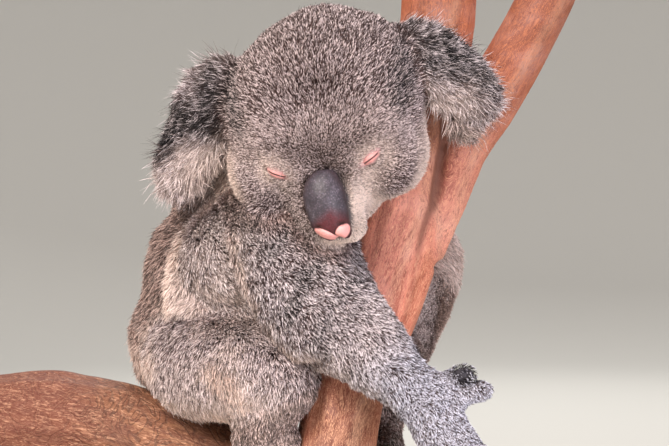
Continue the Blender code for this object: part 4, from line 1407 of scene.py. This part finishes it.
def make_bark_material():
    """Gum bark: smooth, dry, pinkish-orange, with fine loose fibres along the stem and sawn pale ends."""
    sizes = bpy.context.scene.koala_perch
    made, tree = new_material("gum_bark")
    grain = add_node(tree, "Attribute", attribute_name="grain").outputs["Vector"]
    kinds = add_node(tree, "Attribute", attribute_name="kinds")
    split = add_node(tree, "SeparateColor", {"Color": kinds.outputs["Color"]})
    seat, sawn, hollow_shade = split.outputs[0], split.outputs[1], split.outputs[2]
    rise = kinds.outputs["Alpha"]
    along = add_node(tree, "Mapping", {"Vector": grain, "Scale": (1.0, 1.0, 0.16)})
    curled = add_node(tree, "Mapping", {"Vector": grain, "Scale": (1.0, 1.0, 0.22)})
    threads = add_node(
        tree, "TexNoise",
        {"Vector": curled, "Scale": per_mm(1.3), "Detail": 5.0, "Roughness": 0.70, "Distortion": 1.1},
    )
    strips = add_node(
        tree, "TexNoise", {"Vector": along, "Scale": per_mm(8.0), "Detail": 4.0, "Distortion": 0.6}
    )
    cloud = add_node(
        tree, "TexNoise", {"Vector": grain, "Scale": per_mm(22.0), "Detail": 4.0, "Distortion": 0.5}
    )
    swirl = add_node(
        tree, "TexNoise", {"Vector": curled, "Scale": per_mm(11.0), "Detail": 4.0, "Distortion": 1.8}
    )
    course = add_node(
        tree, "TexNoise", {"Vector": grain, "Scale": per_mm(38.0), "Detail": 1.0, "Distortion": 2.4}
    )
    # The stem's tone by height: a dark foot, partly painted shadow under the koala; a bright salmon band at
    # mid height, partly the bark's own colour and partly a painted pool of light; darker orange-brown
    # towards the top.
    stops = [
        (0.00, "3e231c"), (0.13, "5e3128"), (0.25, "ef8f80"), (0.55, "f29f90"),
        (0.75, "6a2c16"), (1.00, "471c0c"),
    ]
    stem = add_node(tree, "ValToRGB", {"Fac": rise}, stops)
    stops = [(0.32, "9c5f52"), (0.50, "d9d0cc"), (0.70, "fff0e6")]
    streaked = add_node(tree, "ValToRGB", {"Fac": strips}, stops)
    stem = add_node(tree, "Mix", {"Factor": 0.75, "A": stem, "B": streaked}, blend_type="MULTIPLY")
    offset = add_node(tree, "SeparateXYZ", {"Vector": grain})
    flank = add_node(tree, "Math", {0: offset.outputs[0]}, operation="ABSOLUTE")
    flank = add_node(
        tree, "MapRange", {"Value": flank, "From Min": 0.012, "From Max": 0.023, "To Max": 0.55}
    )
    stem = add_node(tree, "Mix", {"Factor": flank, "A": stem, "B": "c4653c"})
    grey = add_node(tree, "Math", {0: offset.outputs[0], 1: -0.009}, operation="ADD")
    grey = add_node(tree, "Math", {0: grey}, operation="ABSOLUTE")
    grey = add_node(
        tree, "MapRange", {"Value": grey, "From Min": 0.0045, "From Max": 0.0010, "To Max": 0.75}
    )
    grey = add_node(tree, "Math", {0: grey, 1: strips}, operation="MULTIPLY")
    stem = add_node(tree, "Mix", {"Factor": grey, "A": stem, "B": "a08670"})
    stops = [(0.34, "7d3b27"), (0.50, "c97c64"), (0.66, "e8a999")]
    patches = add_node(tree, "ValToRGB", {"Fac": cloud}, stops)
    stem = add_node(tree, "Mix", {"Factor": 0.28, "A": stem, "B": patches})
    stops = [(0.34, "4e271b"), (0.48, "6f412e"), (0.60, "865638"), (0.74, "b08362")]
    branch = add_node(tree, "ValToRGB", {"Fac": swirl}, stops)
    branch = add_node(tree, "Mix", {"Factor": strips, "A": branch, "B": sizes.ochre})
    track = add_node(tree, "Math", {0: course, 1: 9.0}, operation="MULTIPLY")
    track = add_node(tree, "Math", {0: track, 1: 0.5}, operation="PINGPONG")
    track = add_node(tree, "MapRange", {"Value": track, "From Min": 0.18, "From Max": 0.07, "To Max": 0.75})
    branch = add_node(tree, "Mix", {"Factor": track, "A": branch, "B": "4a2b1e"})
    butt = add_node(
        tree, "MapRange",
        {"Value": offset.outputs[2], "From Min": -0.115, "From Max": -0.150, "To Max": 0.70},
    )
    branch = add_node(tree, "Mix", {"Factor": butt, "A": branch, "B": "6a3326"})
    bark = add_node(tree, "Mix", {"Factor": seat, "A": stem, "B": branch})
    loose = add_node(tree, "MapRange", {"Value": seat, "To Min": 0.62, "To Max": 0.18})
    wisps = add_node(
        tree, "MapRange", {"Value": threads, "From Min": 0.52, "From Max": 0.62, "To Max": 0.38}
    )
    curls = add_node(
        tree, "TexNoise", {"Vector": curled, "Scale": per_mm(4.5), "Detail": 3.0, "Distortion": 2.2}
    )
    curls = add_node(tree, "Math", {0: curls, 1: 12.0}, operation="MULTIPLY")
    curls = add_node(tree, "Math", {0: curls, 1: 0.5}, operation="PINGPONG")
    curls = add_node(
        tree, "MapRange", {"Value": curls, "From Min": 0.15, "From Max": 0.05, "To Max": loose}
    )
    wisps = add_node(tree, "Math", {0: wisps, 1: curls}, operation="MAXIMUM")
    upper = add_node(tree, "MapRange", {"Value": rise, "From Min": 0.50, "From Max": 0.80})
    fibre = add_node(tree, "Mix", {"Factor": upper, "A": sizes.fibre, "B": "c9794d"})
    bark = add_node(tree, "Mix", {"Factor": wisps, "A": bark, "B": fibre})
    cracks = add_node(
        tree, "MapRange", {"Value": threads, "From Min": 0.46, "From Max": 0.36, "To Max": loose}
    )
    bark = add_node(tree, "Mix", {"Factor": cracks, "A": bark, "B": "6b3022"})
    # Painted shade in the flutes' hollows and in the crease between the two stems.
    bark = add_node(tree, "Mix", {"Factor": hollow_shade, "A": bark, "B": "6e4436"})
    rings = add_node(
        tree, "TexWave", {"Vector": grain, "Scale": per_mm(16.0), "Distortion": 1.5, "Detail": 2.0},
        wave_type="RINGS", rings_direction="Z",
    )
    wood = add_node(tree, "Mix", {"Factor": rings, "A": shade(sizes.sapwood, 0.7), "B": sizes.sapwood})
    colour = add_node(tree, "Mix", {"Factor": sawn, "A": bark, "B": wood})
    relief = add_node(tree, "Math", {0: strips, 1: 1.5, 2: threads}, operation="MULTIPLY_ADD")
    carved = add_node(tree, "Math", {0: track, 1: seat}, operation="MULTIPLY")
    relief = add_node(tree, "Math", {0: carved, 1: -0.8, 2: relief}, operation="MULTIPLY_ADD")
    bump = add_node(tree, "Bump", {"Height": relief, "Strength": 0.8, "Distance": 0.0008})
    set_shader(tree, {"Base Color": colour, "Normal": bump}, Roughness=0.66, IOR=1.45)
    return made


STEM_CREASE = ((0.212, 0.2625, 0.281, 0.322), (0.0756, 0.0859, 0.0934, 0.1009))  # its z, then its x
CREASE_HALF = 0.0028  # half of the width of this crease between the two stems
SAWN_TOP, SAWN_END, SAWN_FOOT = 0.014, 0.012, 0.066  # down from the top, in from the end, up to a height


class Bough:
    """The centre line of one bough, as smooth curves through its solid's own points."""

    def __init__(self, node):
        places = numbers(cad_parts[node].data.vertices, "co")
        self.centre = places.mean(0)
        self.axis = np.linalg.svd(places - self.centre, full_matrices=False)[2][0]
        spread = (places - self.centre) @ self.axis
        self.low, self.high = spread.min(), spread.max()
        self.curves = [np.polyfit(spread, column, 3) for column in places.T]

    def local(self, points):
        """Offsets from the centre line, and the distance along it."""
        spread = np.clip((points - self.centre) @ self.axis, self.low, self.high)
        away = points - np.stack([np.polyval(curve, spread) for curve in self.curves], 1)
        if abs(self.axis[2]) > 0.6:
            return np.stack([away[:, 0], away[:, 1], points[:, 2]], 1)
        return np.stack([away[:, 1], away[:, 2], points[:, 0]], 1)


class KOALA_OT_perch(bpy.types.Operator):
    """The forked trunk and the seat branch as one grown piece of wood with sawn ends"""

    bl_idname = "koala.perch"
    bl_label = "Perch"

    def execute(self, context):
        sizes = context.scene.koala_perch
        perch = fused_copy("perch_wood", PERCH, 0.0004, sizes.grid, 10)
        places = numbers(perch.data.vertices, "co")
        normals = numbers(perch.data.vertices, "normal")
        edges = numbers(perch.data.edges, "vertices", 2, int)
        owners = nearest_nodes(places, PERCH)
        shares = relaxed(np.eye(len(PERCH))[owners], edges, 30)
        grain = np.zeros_like(places)
        sawn = np.zeros(len(places))
        for index, node in enumerate(PERCH):
            mine = owners == index
            bough = Bough(node)
            grain += shares[:, index, None] * bough.local(places)
            sawn[mine] = np.abs(normals[mine] @ bough.axis) > 0.72
        top = places[:, 2] > CAD_HIGH.z - SAWN_TOP
        end = places[:, 0] < CAD_LOW.x + SAWN_END
        foot = places[:, 2] < SAWN_FOOT
        sawn = relaxed(sawn * (top | end | foot), edges, 1)
        stretched = grain * (1.0, 1.0, 0.12)
        ripple = lumps(stretched, 0.0085, 1)[:, 0] + 0.5 * lumps(stretched, 0.0040, 2)[:, 0]
        seat = relaxed((owners == PERCH.index("perch_seat_branch")).astype(float), edges, 6)
        knots = lumps(grain * (1.0, 1.0, 0.6), 0.016, 4)[:, 1]
        from_crease = places[:, 0] - np.interp(places[:, 2], *STEM_CREASE)
        crease = bell(from_crease, 0.0, CREASE_HALF) * (normals[:, 1] < 0.0) * (1.0 - seat)
        crease *= smooth_step(places[:, 2], 0.195, 0.320) * smooth_step(places[:, 2], 0.355, 0.335)
        crease = relaxed(crease, edges, 1)
        height = ripple * (1.0 - 0.45 * seat) + 1.3 * seat * knots - 2.6 * crease
        places += normals * (height * sizes.flute * (1.0 - sawn))[:, None]
        set_places(perch.data, places)
        store(perch.data, "grain", "FLOAT_VECTOR", grain)
        # Painted shade: in the flutes' hollows, and full in the crease between the stems.
        hollow_shade = smooth_step(height, -0.55, -1.3)
        rise = np.clip((places[:, 2] - 0.12) / 0.30, 0.0, 1.0)
        hollow_shade = np.clip(hollow_shade * 0.5 * (1.0 - crease) + crease, 0.0, 1.0)
        kinds = np.stack([seat, np.clip(sawn * 1.4, 0.0, 1.0), hollow_shade, rise], 1)
        store(perch.data, "kinds", "FLOAT_COLOR", kinds)
        finish_piece(perch, PERCH, make_bark_material())
        return {"FINISHED"}


# Stand

def make_board_material():
    """Oak veneer on a board: open-pored, satin lacquered. The eye sees straight pale grain."""
    made, tree = new_material("oak_veneer_satin")
    place = add_node(tree, "TexCoord").outputs["Object"]
    along = add_node(tree, "Mapping", {"Vector": place, "Scale": (0.06, 1.0, 1.0)})
    bands = add_node(
        tree, "TexNoise", {"Vector": along, "Scale": per_mm(14.0), "Detail": 4.0, "Distortion": 0.8}
    )
    pores = add_node(tree, "TexNoise", {"Vector": along, "Scale": per_mm(1.2), "Detail": 3.0})
    stops = [(0.30, "b79a74"), (0.55, "cdb38c"), (0.80, "dcc6a2")]
    base = add_node(tree, "ValToRGB", {"Fac": bands}, stops)
    dark = add_node(tree, "MapRange", {"Value": pores, "From Min": 0.42, "From Max": 0.30, "To Max": 0.45})
    colour = add_node(tree, "Mix", {"Factor": dark, "A": base, "B": "7d603f"})
    bump = add_node(tree, "Bump", {"Height": pores, "Strength": 0.15, "Distance": 0.0002})
    set_shader(tree, {"Base Color": colour, "Normal": bump}, Roughness=0.42, IOR=1.50)
    return made


def make_steel_material():
    """Powder-coated steel: black, satin, with the coating's fine orange-peel."""
    made, tree = new_material("steel_powder_coated_black")
    place = add_node(tree, "TexCoord").outputs["Object"]
    peel = add_node(tree, "TexNoise", {"Vector": place, "Scale": per_mm(0.8), "Detail": 2.0})
    colour = add_node(tree, "ValToRGB", {"Fac": peel}, [(0.3, "1c1c1e"), (0.7, "28282a")])
    bump = add_node(tree, "Bump", {"Height": peel, "Strength": 0.2, "Distance": 0.0001})
    set_shader(tree, {"Base Color": colour, "Normal": bump}, Roughness=0.45, IOR=1.50)
    return made


class KOALA_OT_stand(bpy.types.Operator):
    """Finishes for the board and the two rods"""

    bl_idname = "koala.stand"
    bl_label = "Stand"

    def execute(self, context):
        finishes = {"stand_base": make_board_material()}
        steel = make_steel_material()
        finishes["stand_rod_1"] = finishes["stand_rod_2"] = steel
        for node, finish in finishes.items():
            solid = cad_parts[node]
            solid.data.materials.clear()
            solid.data.materials.append(finish)
        return {"FINISHED"}


# Stage

def make_paper_material():
    """Backdrop paper: matt and even, with a faint tooth."""
    made, tree = new_material("backdrop_paper")
    place = add_node(tree, "TexCoord").outputs["Object"]
    tooth = add_node(tree, "TexNoise", {"Vector": place, "Scale": per_mm(4.0), "Detail": 3.0})
    paper = tuple(bpy.context.scene.koala_stage.backdrop)
    colour = add_node(tree, "Mix", {"Factor": tooth, "A": shade(paper, 0.97), "B": paper})
    set_shader(tree, {"Base Color": colour}, Roughness=0.90)
    return made


def area_light(name, place, aim, size, power, hex_colour):
    light = bpy.data.lights.new(name, "AREA")
    light.shape = "DISK"
    light.size = size
    light.energy = power
    light.color = linear(hex_colour)[:3]
    holder = bpy.data.objects.new(name, light)
    holder.location = place
    holder.rotation_euler = (Vector(aim) - Vector(place)).to_track_quat("-Z", "Y").to_euler()
    bpy.context.scene.collection.objects.link(holder)


class KOALA_OT_stage(bpy.types.Operator):
    """Pale floor that curves up far away on every side, soft lights and the camera"""

    bl_idname = "koala.stage"
    bl_label = "Stage"

    def execute(self, context):
        stage = context.scene.koala_stage
        select_none()
        bpy.ops.mesh.primitive_grid_add(x_subdivisions=80, y_subdivisions=80, size=9.0)
        floor = context.active_object
        floor.name = "floor"
        places = numbers(floor.data.vertices, "co")
        away = np.linalg.norm(places[:, :2], axis=1)
        places[:, 2] = 2.2 * np.clip((away - 2.0) / 2.2, 0.0, 2.0) ** 2
        set_places(floor.data, places)
        floor.data.shade_smooth()
        floor.data.materials.append(make_paper_material())

        aim = (0.0, 0.0, 0.26)
        area_light("key_softbox", (-0.8, -1.5, 1.5), aim, 0.9, 60.0, "fff4ea")
        area_light("fill_softbox", (1.1, -1.7, 0.5), aim, 1.2, 30.0, "f6f4ff")
        area_light("back_softbox", (0.4, 1.6, 1.4), aim, 1.2, 20.0, "ffffff")
        world = bpy.data.worlds.new("studio")
        world.use_nodes = True
        sky = world.node_tree.nodes["Background"]
        sky.inputs["Color"].default_value = linear("f4f6fa")
        sky.inputs["Strength"].default_value = 0.62
        context.scene.world = world

        camera = bpy.data.cameras.new("camera")
        camera.lens = stage.lens
        camera.sensor_width = 36.0
        camera.clip_start = 0.01
        holder = bpy.data.objects.new("camera", camera)
        holder.location = stage.camera
        holder.rotation_euler = (math.radians(90.0), 0.0, 0.0)
        context.scene.collection.objects.link(holder)
        context.scene.camera = holder
        context.scene.view_settings.view_transform = "Standard"
        return {"FINISHED"}


# Panel and registration

OPERATORS = (
    KOALA_OT_stage, KOALA_OT_skin, KOALA_OT_coat, KOALA_OT_nose, KOALA_OT_eyes, KOALA_OT_claws,
    KOALA_OT_perch, KOALA_OT_stand,
)
GROUPS = {
    "koala_skin": KoalaSkin,
    "koala_coat": KoalaCoat,
    "koala_face": KoalaFace,
    "koala_perch": KoalaPerch,
    "koala_stage": KoalaStage,
}


class KOALA_PT_panel(bpy.types.Panel):
    """Every size and colour, and a button for each piece"""

    bl_label = "Sleeping Koala"
    bl_idname = "KOALA_PT_panel"
    bl_space_type = "VIEW_3D"
    bl_region_type = "UI"
    bl_category = "Koala"

    def draw(self, context):
        for name, group in GROUPS.items():
            box = self.layout.box()
            for prop in group.__annotations__:
                box.prop(getattr(context.scene, name), prop)
        for operator in OPERATORS:
            self.layout.operator(operator.bl_idname)


CLASSES = (*GROUPS.values(), *OPERATORS, KOALA_PT_panel)


def register():
    for cls in CLASSES:
        bpy.utils.register_class(cls)
    for name, group in GROUPS.items():
        setattr(bpy.types.Scene, name, bpy.props.PointerProperty(type=group))


def unregister():
    for name in GROUPS:
        delattr(bpy.types.Scene, name)
    for cls in reversed(CLASSES):
        bpy.utils.unregister_class(cls)


def main():
    register()
    for operator in OPERATORS:
        getattr(bpy.ops.koala, operator.bl_idname.split(".")[1])()


if __name__ == "__main__":
    main()
